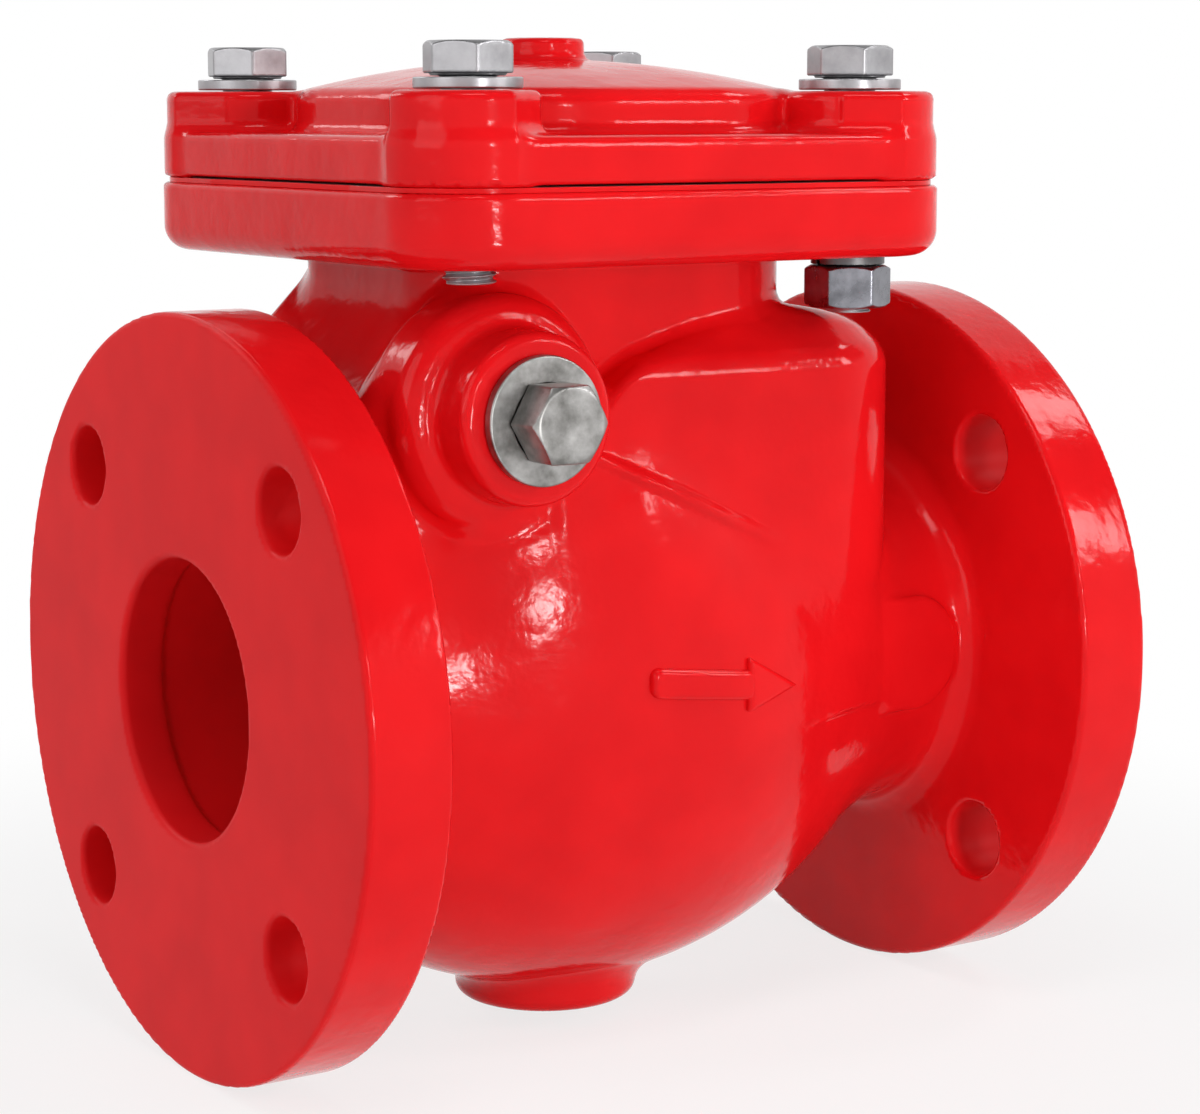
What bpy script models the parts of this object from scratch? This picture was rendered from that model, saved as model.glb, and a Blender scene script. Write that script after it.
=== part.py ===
"""Flanged swing non-return valve with a bolted top cover. Blender script, metres, +Z up.

The pipe runs along +X, the way the water flows. The origin is the middle of the inlet flange's face.
The cover is on top (+Z), and the plug that closes the hinge pin's hole faces -Y.
"""

import math

import bmesh
import bpy
from mathutils import Matrix, Vector

# Pipe run
FACE_TO_FACE = 0.216
BORE = 0.0655
FLANGE_DIAMETER = 0.178
FLANGE_THICKNESS = 0.020
FLANGE_EDGE = 0.001
BOLT_EDGE = 0.01915
BOLT_HOLE = 0.019
BOLT_HOLES = 4
HUB_WALL = 0.013
HUB_FILLET = 0.007
RELIEF_START = 0.011
RELIEF_DEPTH = 0.0012

# Casting
WALL = 0.008
BELLY_FROM_INLET = 0.009
BELLY_FROM_OUTLET = 0.017
BELLY_DEPTH = 0.081
BELLY_BULGE = 0.0078
BELLY_CAP = math.radians(12)
BELLY_SQUARENESS = 1.25
CREASE_START = 0.085
CREASE_END = 0.125
DRAIN_RADIUS = 0.0226
DRAIN_DROP = 0.0035
DRAIN_ROUNDING = 0.003
GAUGE_PAD_START = 0.168
GAUGE_PAD_LENGTH = 0.0235
GAUGE_PAD_HALF_HEIGHT = 0.0143
GAUGE_PAD_CORNER = 0.0125
GAUGE_PAD_RISE = 0.0013
PAD_EDGE = 0.0015

# Seat and clapper, measured along and across the tilted seat
SEAT_X = 0.054
SEAT_TILT = math.radians(5)
SEAT_FACE_WIDTH = 0.006
SEAT_RING_LENGTH = 0.009
SEAT_RING_PROUD = 0.002
DISC_LAP = 0.0005
DISC_THICKNESS = 0.010
DISC_RIM = 0.0025
SEAL_WIDTH = 0.0115
SEAL_THICKNESS = 0.004
SEAL_PROUD = 0.001
RETAINER_THICKNESS = 0.003
STUD_DIAMETER = 0.012
STUD_HEAD_DIAMETER = 0.022
STUD_HEAD_HEIGHT = 0.004
STUD_TAIL = 0.007
STUD_EDGE = 0.001
STUD_WASHER_DIAMETER = 0.024
STUD_WASHER_THICKNESS = 0.0025
STUD_NUT_WIDTH = 0.018
STUD_NUT_HEIGHT = 0.009
DISC_STEP = 0.004
DISC_STEP_HEIGHT = 0.0035
COTTER_WIRE = 0.0014
COTTER_OVERHANG = 0.003
COTTER_SPREAD = 0.0022
COTTER_EYE = 0.0031

# Hinge
HINGE_X = 0.058
HINGE_HEIGHT = 0.0667
PIN_DIAMETER = 0.010
PIN_EDGE = 0.0008
BUSH_WALL = 0.0017
BUSH_LENGTH = 0.0115
THRUST_WASHER_THICKNESS = 0.003
THRUST_WASHER_WALL = 0.004
ARM_HUB_WALL = 0.0055
ARM_THICKNESS = 0.008
ARM_RIB_HEIGHT = 0.005
ARM_RIB_WIDTH = 0.008
ARM_BOSS_DIAMETER = 0.028
ARM_BOSS_THICKNESS = 0.010
ARM_CRANK = 0.004
ARM_EDGE = 0.0006
ARM_LAP = 0.002
ARM_SHOULDER_SHARE = 0.7
ARM_WAIST_SHARE = 0.85
ARM_WAIST_PLACE_SHARE = 0.45
ARM_FOOT_SHARE = 0.75
ARM_RIB_PLACE_SHARE = 0.35

# Hinge pin plug and its bosses
PLUG_THREAD = 0.016
PLUG_WIDTH = 0.017
PLUG_HEAD_HEIGHT = 0.010
PLUG_WASHER_DIAMETER = 0.029
PLUG_WASHER_THICKNESS = 0.0026
PLUG_WASHER_EDGE = 0.0004
PLUG_BOSS_RADIUS = 0.027
PLUG_BOSS_STEP = 0.00225
PLUG_BOSS_ROUNDING = 0.004
PLUG_PAD_RADIUS = 0.0195
PLUG_PAD_PROUD = 0.01025
PLUG_PAD_ROUNDING = 0.002
FAR_BOSS_RADIUS = 0.016
FAR_BOSS_COVER = 0.006
FAR_BOSS_ROUNDING = 0.003
BOSS_LAP = 0.003
PIN_SPARE = 0.002

# Opening, bonnet flange and cover
NECK_X = 0.0986
NECK_TOP = 0.100
OPENING_SPARE = 0.0075
OPENING_WIDTH = 0.064
OPENING_CORNER = 0.012
NECK_CORNER = 0.020
NECK_FOOT_CORNER_SHARE = 0.3
NECK_SLOPE_CORNER_SHARE = 0.7
SHOULDER_HEIGHT = 0.076
SHOULDER_RISE = 0.014
SHOULDER_EDGE = 0.007
CHAMBER_CORNER = 0.030
CHAMBER_EDGE = 0.008
CHAMBER_FOOT = 0.010
OBLIQUE_START = 0.018
OBLIQUE_RUN = 0.026
NECK_LAP = 0.001
NECK_FOOT = 0.020
BOLT_OUTSIDE = 0.0014
BONNET_MARGIN = 0.0209
BONNET_THICKNESS = 0.0165
BONNET_ROUNDING = 0.006
GASKET_THICKNESS = 0.001
GASKET_INSET = 0.002
COVER_INSET = 0.0012
COVER_RIM = 0.0105
COVER_HEIGHT = 0.0202
COVER_BOSS_RADIUS = 0.016
COVER_CROWN = 0.054
COVER_CROWN_CORNER = 0.040
COVER_DOME = 0.0076
COVER_KNOB_RADIUS = 0.010
COVER_KNOB_HEIGHT = 0.005
COVER_KNOB_ROUNDING = 0.0015
COVER_ROOF = 0.009
COVER_EDGE = 0.0012

# Cover fasteners
FASTENER = 0.012
HEAD_WIDTH = 0.018
HEAD_HEIGHT = 0.0075
HEAD_TURN = math.radians(11)
WASHER_DIAMETER = 0.024
WASHER_THICKNESS = 0.0025
LOCK_WASHER_DIAMETER = 0.0175
LOCK_WASHER_THICKNESS = 0.0018
NUT_HEIGHT = 0.0100
NUT_TURN = math.radians(33)
SCREW_LENGTH = 0.045
BOLT_LENGTH = 0.055
FASTENER_EDGE = 0.001

# Clearances
GAP = 0.0003
PIN_PLAY = 0.0003
HOLE_PLAY = 0.0005
DISC_SIDE_ROOM = 0.005
DISC_END_ROOM = 0.0072
HUB_ROOM = 0.004
CUT = 0.004

# Facets
LARGE = 40
BOSS = 24
ROUND = 20
SMALL = 12
BELLY_SIDES = 32
BELLY_SECTIONS = 14
DOME_RINGS = 5
CORNER_STEPS = 4
FILLET_STEPS = 3

# Places that follow from the sizes above
FLOW = Vector((math.cos(SEAT_TILT), 0, math.sin(SEAT_TILT)))
DOWN = Vector((math.sin(SEAT_TILT), 0, -math.cos(SEAT_TILT)))
SEAT_CENTRE = Vector((SEAT_X, 0, 0))
HINGE = Vector((HINGE_X, 0, HINGE_HEIGHT))
HINGE_AHEAD = (HINGE - SEAT_CENTRE).dot(FLOW)
DISC_BELOW = (SEAT_CENTRE - HINGE).dot(DOWN)
PIPE_RADIUS = BORE / 2
BOLT_CIRCLE = FLANGE_DIAMETER - 2 * BOLT_EDGE
BELLY_LENGTH = FACE_TO_FACE - BELLY_FROM_INLET - BELLY_FROM_OUTLET
BELLY_MIDDLE = BELLY_FROM_INLET + BELLY_LENGTH / 2
HUB_RADIUS = PIPE_RADIUS + HUB_WALL
SEAT_RADIUS = PIPE_RADIUS + SEAT_FACE_WIDTH
DISC_RADIUS = SEAT_RADIUS + DISC_LAP
DISC_FRONT = GAP + SEAL_PROUD
DISC_BACK = DISC_FRONT + DISC_THICKNESS
SWEEP = math.hypot(DISC_BELOW + DISC_RADIUS, max(HINGE_AHEAD - GAP, DISC_BACK - HINGE_AHEAD))
CHAMBER_INSIDE = DISC_RADIUS + DISC_SIDE_ROOM
CHAMBER_HALF = CHAMBER_INSIDE + WALL
CHAMBER_END = HINGE_X + SWEEP + DISC_END_ROOM + WALL
BELLY_HALF = CHAMBER_HALF + BELLY_BULGE
PLUG_BOSS_REACH = CHAMBER_HALF - PLUG_BOSS_STEP
PLUG_PAD_REACH = CHAMBER_HALF + PLUG_PAD_PROUD
OPENING_HALF_LENGTH = DISC_RADIUS + OPENING_SPARE / 2
OPENING_HALF_WIDTH = OPENING_WIDTH / 2
NECK_HALF_LENGTH = OPENING_HALF_LENGTH + WALL
NECK_HALF_WIDTH = OPENING_HALF_WIDTH + WALL
BOLT_PITCH = 2 * (NECK_HALF_LENGTH + BOLT_OUTSIDE)
PIN_RADIUS = PIN_DIAMETER / 2
BUSH_BORE = PIN_RADIUS + PIN_PLAY
BUSH_RADIUS = BUSH_BORE + BUSH_WALL
BUSH_END = OPENING_HALF_WIDTH + GAP + BUSH_LENGTH
PIN_FAR_END = BUSH_END + GAP
PIN_NEAR_END = BUSH_END + PIN_SPARE
ARM_HUB_RADIUS = BUSH_BORE + ARM_HUB_WALL
ARM_HALF_WIDTH = OPENING_HALF_WIDTH - THRUST_WASHER_THICKNESS - 2 * GAP
ARM_FRONT = DISC_BACK + GAP
ARM_BACK = ARM_FRONT + ARM_BOSS_THICKNESS
STUD_RADIUS = STUD_DIAMETER / 2
BONNET_HALF = BOLT_PITCH / 2 + BONNET_MARGIN
BONNET_TOP = NECK_TOP + BONNET_THICKNESS
COVER_BOTTOM = BONNET_TOP + GASKET_THICKNESS + 2 * GAP
COVER_TOP = COVER_BOTTOM + COVER_HEIGHT
COVER_MARGIN = BONNET_MARGIN - COVER_INSET
HEAD_SEAT = COVER_TOP + WASHER_THICKNESS + 2 * GAP

RED = (0.78, 0.012, 0.016, 1)
STEEL = (0.42, 0.42, 0.44, 1)
BRONZE = (0.55, 0.34, 0.14, 1)
BLACK = (0.02, 0.02, 0.02, 1)
FIBRE = (0.05, 0.06, 0.06, 1)

BOLT_CORNERS = {
    "inlet_near": (NECK_X - BOLT_PITCH / 2, -BOLT_PITCH / 2),
    "inlet_far": (NECK_X - BOLT_PITCH / 2, BOLT_PITCH / 2),
    "outlet_near": (NECK_X + BOLT_PITCH / 2, -BOLT_PITCH / 2),
    "outlet_far": (NECK_X + BOLT_PITCH / 2, BOLT_PITCH / 2),
}

ALONG_X = Matrix.Rotation(math.radians(90), 4, "Y")
ALONG_MINUS_Y = Matrix.Rotation(math.radians(90), 4, "X")
ALONG_Y = Matrix.Rotation(math.radians(-90), 4, "X")
DOWNWARDS = Matrix.Rotation(math.radians(180), 4, "X")
SEAT_TURN = Matrix.Rotation(math.radians(90) - SEAT_TILT, 4, "Y")


def clear_scene():
    for old in list(bpy.data.objects):
        bpy.data.objects.remove(old, do_unlink=True)


def new_collection(name):
    collection = bpy.data.collections.new(name)
    bpy.context.scene.collection.children.link(collection)
    return collection


def painted(obj, colour, roughness, metallic):
    """Gives the object a material of its own."""
    material = bpy.data.materials.new(obj.name)
    material.use_nodes = True
    shader = material.node_tree.nodes["Principled BSDF"]
    shader.inputs["Base Color"].default_value = colour
    shader.inputs["Roughness"].default_value = roughness
    shader.inputs["Metallic"].default_value = metallic
    material.diffuse_color = colour
    obj.data.materials.append(material)
    return obj


def new_object(name, mesh, place=None, part=False):
    obj = bpy.data.objects.new(name, mesh)
    if place is not None:
        obj.matrix_world = place
    if part:
        PARTS.objects.link(obj)
    else:
        CUTTERS.objects.link(obj)
        obj.hide_render = True
        obj.display_type = "WIRE"
    mesh.shade_smooth()
    mesh.set_sharp_from_angle(angle=math.radians(35))
    return obj


def at(x, y, z, turn=None):
    place = Matrix.Translation((x, y, z))
    return place if turn is None else place @ turn


def arc(across, along, radius, start, end, steps):
    """Points of an arc in a profile, angles in degrees from the +across direction."""
    points = []
    for step in range(steps + 1):
        angle = math.radians(start + (end - start) * step / steps)
        points.append((across + radius * math.cos(angle), along + radius * math.sin(angle)))
    return points


def turned(name, profile, segments, place=None, ring=False, part=False):
    """A solid turned about its own Z. The profile holds (radius, height), down its outer side."""
    mesh = bpy.data.meshes.new(name)
    edges = [(i, i + 1) for i in range(len(profile) - 1)]
    if ring:
        edges.append((len(profile) - 1, 0))
    mesh.from_pydata([(radius, 0, height) for radius, height in profile], edges, [])
    obj = new_object(name, mesh, place, part)
    screw = obj.modifiers.new("Turn", "SCREW")
    screw.axis = "Z"
    screw.steps = segments
    screw.render_steps = segments
    screw.use_merge_vertices = True
    screw.merge_threshold = 0.00001
    screw.use_smooth_shade = True
    return obj


def rod(name, radius, low, high, segments, place=None, part=False, edge=0.0):
    """A round bar from low to high on its own Z, with an optional chamfer at both ends."""
    side = [(radius, high - edge), (radius, low + edge)]
    ends = [(radius - edge, high)] if edge else []
    more = [(radius - edge, low)] if edge else []
    profile = [(0, high)] + ends + side + more + [(0, low)]
    return turned(name, profile, segments, place, part=part)


def tube(name, outer, inner, low, high, segments, place=None, edge=0.0, part=True):
    """A plain ring from low to high on its own Z."""
    profile = [(outer - edge, high), (outer, high - edge), (outer, low + edge), (outer - edge, low)]
    if not edge:
        profile = [(outer, high), (outer, low)]
    return turned(name, profile + [(inner, low), (inner, high)], segments, place, ring=True, part=part)


def rounded_outline(x_low, x_high, half_width, inlet_corner, outlet_corner, height):
    """A rectangle with round corners, as points at one height, the inlet's corners of their own radius."""
    corners = (
        (x_high - outlet_corner, half_width - outlet_corner, outlet_corner, 0),
        (x_low + inlet_corner, half_width - inlet_corner, inlet_corner, 90),
        (x_low + inlet_corner, inlet_corner - half_width, inlet_corner, 180),
        (x_high - outlet_corner, outlet_corner - half_width, outlet_corner, 270),
    )
    points = []
    for x, y, radius, start in corners:
        points += arc(x, y, radius, start, start + 90, CORNER_STEPS)
    return [Vector((x, y, height)) for x, y in points]


def square_outline(half, corner, height, middle=NECK_X):
    return rounded_outline(middle - half, middle + half, half, corner, corner, height)


def loft(name, sections, part=False, place=None):
    """A solid through outlines of equally many points, from the lowest to the highest."""
    form = bmesh.new()
    rings = [[form.verts.new(point) for point in section] for section in sections]
    for low, high in zip(rings, rings[1:]):
        for i in range(len(low)):
            after = (i + 1) % len(low)
            form.faces.new((low[i], low[after], high[after], high[i]))
    form.faces.new(list(reversed(rings[0])))
    form.faces.new(rings[-1])
    mesh = bpy.data.meshes.new(name)
    form.to_mesh(mesh)
    form.free()
    return new_object(name, mesh, place, part)


def ellipsoid(name, middle, half_x, half_y, half_z):
    """Poles on the pipe's axis, so that its rings run round the pipe."""
    form = bmesh.new()
    bmesh.ops.create_uvsphere(form, u_segments=28, v_segments=14, radius=1)
    bmesh.ops.transform(form, matrix=ALONG_X, verts=form.verts)
    bmesh.ops.scale(form, vec=(half_x, half_y, half_z), verts=form.verts)
    mesh = bpy.data.meshes.new(name)
    form.to_mesh(mesh)
    form.free()
    return new_object(name, mesh, at(middle, 0, 0))


def hexagon(name, width, low, high, turn, place=None, part=False):
    """A hexagonal bar along its own Z with a corner at turn, and the corners of its top face cut off."""
    form = bmesh.new()
    radius = width / 2 / math.cos(math.pi / 6)
    bmesh.ops.create_cone(
        form,
        cap_ends=True,
        segments=6,
        radius1=radius,
        radius2=radius,
        depth=high - low,
        matrix=at(0, 0, (high + low) / 2, Matrix.Rotation(turn - math.radians(90), 4, "Z")),
    )
    mesh = bpy.data.meshes.new(name)
    form.to_mesh(mesh)
    form.free()
    obj = new_object(name, mesh, place, part)
    across = width / 2 * 0.97
    beyond = radius * 1.02
    cone = [
        (0, high + CUT),
        (across, high + CUT),
        (across, high),
        (beyond, high - (beyond - across) / 2),
        (beyond, low - CUT),
        (0, low - CUT),
    ]
    chamfer = turned(name + "_chamfer", cone, ROUND, place)
    change(obj, chamfer, "INTERSECT")
    return obj


def change(obj, other, operation):
    modifier = obj.modifiers.new(other.name, "BOOLEAN")
    modifier.operation = operation
    modifier.solver = "EXACT"
    modifier.object = other


def with_cutters(*objects):
    """The objects, and what their Booleans use, so that all of it can ride on one axis."""
    found = list(objects)
    for obj in objects:
        found += [modifier.object for modifier in obj.modifiers if modifier.type == "BOOLEAN"]
    return found


def join(obj, *others):
    for other in others:
        change(obj, other, "UNION")


def cut(obj, *others):
    for other in others:
        change(obj, other, "DIFFERENCE")


def run_profile():
    """Radius and height of the two pipe flanges and their hubs, from the outlet to the inlet."""
    rim = FLANGE_DIAMETER / 2
    inner = FACE_TO_FACE - FLANGE_THICKNESS
    profile = [
        (0, FACE_TO_FACE),
        (rim - FLANGE_EDGE, FACE_TO_FACE),
        (rim, FACE_TO_FACE - FLANGE_EDGE),
        (rim, inner + FLANGE_EDGE),
        (rim - FLANGE_EDGE, inner),
    ]
    profile += arc(HUB_RADIUS + HUB_FILLET, inner - HUB_FILLET, HUB_FILLET, 90, 180, FILLET_STEPS)
    profile += arc(HUB_RADIUS + HUB_FILLET, FLANGE_THICKNESS + HUB_FILLET, HUB_FILLET, 180, 270, FILLET_STEPS)
    profile += [
        (rim - FLANGE_EDGE, FLANGE_THICKNESS),
        (rim, FLANGE_THICKNESS - FLANGE_EDGE),
        (rim, FLANGE_EDGE),
        (rim - FLANGE_EDGE, 0),
        (0, 0),
    ]
    return profile


def belly_form():
    """Round below and squarer above, with a crease on each side that fades out towards the outlet."""
    sections = []
    for section in range(BELLY_SECTIONS + 1):
        turn = BELLY_CAP + (math.pi - 2 * BELLY_CAP) * section / BELLY_SECTIONS
        x = BELLY_MIDDLE - BELLY_LENGTH / 2 * math.cos(turn)
        share = min(1, max(0, (CREASE_END - x) / (CREASE_END - CREASE_START)))
        above = 2 / (2 + BELLY_SQUARENESS * share * share * (3 - 2 * share))
        points = []
        for side in range(BELLY_SIDES):
            angle = 2 * math.pi * side / BELLY_SIDES
            across = math.cos(angle)
            up = math.sin(angle)
            power = above if up > 0 else 1
            y = math.copysign(abs(across) ** power, across) * BELLY_HALF * math.sin(turn)
            z = math.copysign(abs(up) ** power, up) * BELLY_DEPTH * math.sin(turn)
            points.append(Vector((x, y, z)))
        sections.append(points)
    return loft("belly", sections)


def neck_form(name, wall, top, foot, low_x):
    """The column under the bonnet flange. Its inlet side slopes down over the hinge, to low_x."""
    x_low = NECK_X - OPENING_HALF_LENGTH - wall
    x_high = NECK_X + OPENING_HALF_LENGTH + wall
    half = OPENING_HALF_WIDTH + wall
    corner = NECK_CORNER - WALL + wall
    hub_room = (ARM_HUB_RADIUS + HUB_ROOM + wall) * math.sqrt(2)
    foot_corner = NECK_FOOT_CORNER_SHARE * corner
    sections = []
    for z, x, inlet_corner in (
        (foot, low_x, foot_corner),
        (HINGE_HEIGHT + hub_room - (HINGE_X - low_x), low_x, foot_corner),
        (HINGE_HEIGHT + hub_room - (HINGE_X - x_low), x_low, NECK_SLOPE_CORNER_SHARE * corner),
        (top, x_low, corner),
    ):
        sections.append(rounded_outline(x, x_high, half, inlet_corner, corner, z))
    return loft(name, sections)


def chamber_form(name, wall):
    """The flat-sided swing chamber. Its shoulder closes up to the neck, and its inlet end is oblique."""
    inset = WALL - wall
    end = CHAMBER_END - inset
    half = CHAMBER_HALF - inset
    corner = CHAMBER_CORNER - inset
    neck_half = NECK_HALF_WIDTH - inset - NECK_LAP
    neck_end = NECK_X + NECK_HALF_LENGTH - inset - NECK_LAP
    neck_corner = NECK_CORNER - inset - NECK_LAP
    top = SHOULDER_HEIGHT - inset
    start = HINGE_X + ARM_HUB_RADIUS + inset
    oblique = start + OBLIQUE_START
    sections = []
    for height, x_low in ((-CHAMBER_FOOT, start), (top - OBLIQUE_START, start), (top, oblique)):
        sections.append(rounded_outline(x_low, end, half, CHAMBER_EDGE, corner, height))
    for closed, rise, run in ((0.25, 0.6, 0.3), (0.5, 1, 1)):
        step = closed * (half - neck_half)
        x_low = oblique + closed * OBLIQUE_RUN
        height = top + rise * SHOULDER_EDGE
        x_high = end - run * SHOULDER_EDGE
        sections.append(rounded_outline(x_low, x_high, half - step, CHAMBER_EDGE, corner - step / 2, height))
    x_low = oblique + OBLIQUE_RUN
    height = top + SHOULDER_RISE
    sections.append(rounded_outline(x_low, neck_end, neck_half, CHAMBER_EDGE / 2, neck_corner, height))
    return loft(name, sections)


def bonnet_flange_form():
    corner = BONNET_MARGIN
    sections = []
    for step in range(FILLET_STEPS + 1):
        angle = math.radians(90 * step / FILLET_STEPS)
        inset = BONNET_ROUNDING * (1 - math.sin(angle))
        height = NECK_TOP + BONNET_ROUNDING * (1 - math.cos(angle))
        sections.append(square_outline(BONNET_HALF - inset, corner - inset, height))
    sections.append(square_outline(BONNET_HALF, corner, BONNET_TOP - COVER_EDGE / 2))
    sections.append(square_outline(BONNET_HALF - COVER_EDGE / 2, corner - COVER_EDGE / 2, BONNET_TOP))
    return loft("bonnet_flange", sections)


def round_boss(name, radius, foot, top, rounding, place):
    edge = arc(radius - rounding, top - rounding, rounding, 90, 0, FILLET_STEPS)
    return turned(name, [(0, top)] + edge + [(radius, foot), (0, foot)], BOSS, place)


def gauge_pad():
    """The flat on the near side of the outlet hub, square towards the belly and round towards the flange."""
    start = GAUGE_PAD_START
    end = start + GAUGE_PAD_LENGTH
    half = GAUGE_PAD_HALF_HEIGHT
    top = HUB_RADIUS + GAUGE_PAD_RISE
    sections = []
    for height, inset in ((PIPE_RADIUS, 0), (top - PAD_EDGE, 0), (top, PAD_EDGE / 2)):
        corner = GAUGE_PAD_CORNER - inset
        sections.append(
            rounded_outline(start + inset, end - inset, half - inset, PAD_EDGE, corner, height)
        )
    return loft("gauge_pad", sections, place=ALONG_MINUS_Y)


def cavity():
    """The water's way from the seat to the outlet, and up to the cover."""
    hollow = ellipsoid(
        "cavity", BELLY_MIDDLE, BELLY_LENGTH / 2 - WALL, BELLY_HALF - WALL, BELLY_DEPTH - WALL
    )
    room = ARM_HUB_RADIUS + HUB_ROOM
    join(
        hollow,
        chamber_form("chamber_inside", 0.0),
        neck_form("neck_inside", 0.0, BONNET_TOP + CUT, NECK_FOOT, HINGE_X - room),
    )
    bottom = BELLY_DEPTH + CUT
    sections = []
    for height in (-BELLY_LENGTH / 2, -SEAT_RING_PROUD):
        sections.append(rounded_outline(room - DISC_BELOW, bottom, BELLY_HALF, CUT, CUT, height))
    cut(hollow, loft("seat_wall", sections, place=Matrix.Translation(SEAT_CENTRE) @ SEAT_TURN))
    return hollow


def cut_bolt_holes(obj, name, low, high):
    """The four holes of the cover bolts, through one piece."""
    for corner, (x, y) in BOLT_CORNERS.items():
        cut(obj, rod(f"{name}_{corner}", FASTENER / 2 + HOLE_PLAY, low, high, ROUND, at(x, y, 0)))


def valve_body():
    body = turned("valve_body", run_profile(), LARGE, ALONG_X, part=True)
    join(
        body,
        belly_form(),
        neck_form("neck", WALL, NECK_TOP + CUT, NECK_FOOT, FLANGE_THICKNESS + HUB_FILLET),
        chamber_form("chamber", WALL),
        bonnet_flange_form(),
    )
    hinge_near = at(HINGE_X, 0, HINGE_HEIGHT, ALONG_MINUS_Y)
    hinge_far = at(HINGE_X, 0, HINGE_HEIGHT, ALONG_Y)
    far_reach = PIN_FAR_END + FAR_BOSS_COVER
    inside = OPENING_HALF_WIDTH - BOSS_LAP
    below = at(NECK_X, 0, 0, DOWNWARDS)
    drain_foot = BELLY_DEPTH - WALL
    drain_low = BELLY_DEPTH + DRAIN_DROP
    join(
        body,
        round_boss("plug_boss", PLUG_BOSS_RADIUS, inside, PLUG_BOSS_REACH, PLUG_BOSS_ROUNDING, hinge_near),
        round_boss("plug_pad", PLUG_PAD_RADIUS, inside, PLUG_PAD_REACH, PLUG_PAD_ROUNDING, hinge_near),
        round_boss("far_boss", FAR_BOSS_RADIUS, inside, far_reach, FAR_BOSS_ROUNDING, hinge_far),
        round_boss("drain_boss", DRAIN_RADIUS, drain_foot, drain_low, DRAIN_ROUNDING, below),
        gauge_pad(),
    )
    cut(body, cavity())
    seat_pocket = SEAT_RADIUS + GAP
    tilted = Matrix.Translation(SEAT_CENTRE) @ SEAT_TURN
    bush_hole = BUSH_RADIUS + GAP
    plug_end = PLUG_PAD_REACH + CUT
    cut(
        body,
        rod("inlet_bore", PIPE_RADIUS, -CUT, RELIEF_START + CUT, LARGE, ALONG_X),
        rod("inlet_relief", PIPE_RADIUS + RELIEF_DEPTH, RELIEF_START, SEAT_X, LARGE, ALONG_X),
        rod("outlet_bore", PIPE_RADIUS, BELLY_MIDDLE, FACE_TO_FACE + CUT, LARGE, ALONG_X),
        rod("seat_pocket", seat_pocket, -SEAT_RING_LENGTH - GAP, CUT, LARGE, tilted),
        rod("bush_hole_far", bush_hole, 0, PIN_FAR_END + GAP, ROUND, hinge_far),
        rod("bush_hole_near", bush_hole, 0, PIN_NEAR_END + CUT, ROUND, hinge_near),
        rod("plug_hole", PLUG_THREAD / 2 + GAP, PIN_NEAR_END - GAP, plug_end, ROUND, hinge_near),
    )
    for end, face in (("inlet", 0), ("outlet", FACE_TO_FACE - FLANGE_THICKNESS)):
        for number in range(BOLT_HOLES):
            angle = 2 * math.pi * (number + 0.5) / BOLT_HOLES
            y = BOLT_CIRCLE / 2 * math.cos(angle)
            z = BOLT_CIRCLE / 2 * math.sin(angle)
            place = at(face, y, z, ALONG_X)
            name = f"{end}_bolt_hole_{number}"
            cut(body, rod(name, BOLT_HOLE / 2, -CUT, FLANGE_THICKNESS + CUT, ROUND, place))
    cut_bolt_holes(body, "bonnet_hole", NECK_TOP - CUT, BONNET_TOP + CUT)
    return painted(body, RED, 0.3, 0.0)


def corner_boss(name, x, y):
    """A round boss under a bolt head, flush with the cover's own corner on its outer side."""
    outward = math.degrees(math.atan2(y, x - NECK_X))
    tangent = math.degrees(math.acos(COVER_BOSS_RADIUS / COVER_MARGIN))
    side = outward + 45 + tangent
    sections = []
    for height, inset in (
        (COVER_BOTTOM + COVER_RIM / 2, 0),
        (COVER_TOP - COVER_EDGE, 0),
        (COVER_TOP, COVER_EDGE),
    ):
        points = arc(x, y, COVER_MARGIN - inset, outward - 45, outward + 45, CORNER_STEPS)
        points += arc(x, y, COVER_BOSS_RADIUS - inset, side, side + 270 - 2 * tangent, 3 * CORNER_STEPS - 2)
        sections.append([Vector((px, py, height)) for px, py in points])
    return loft(name, sections)


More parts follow.
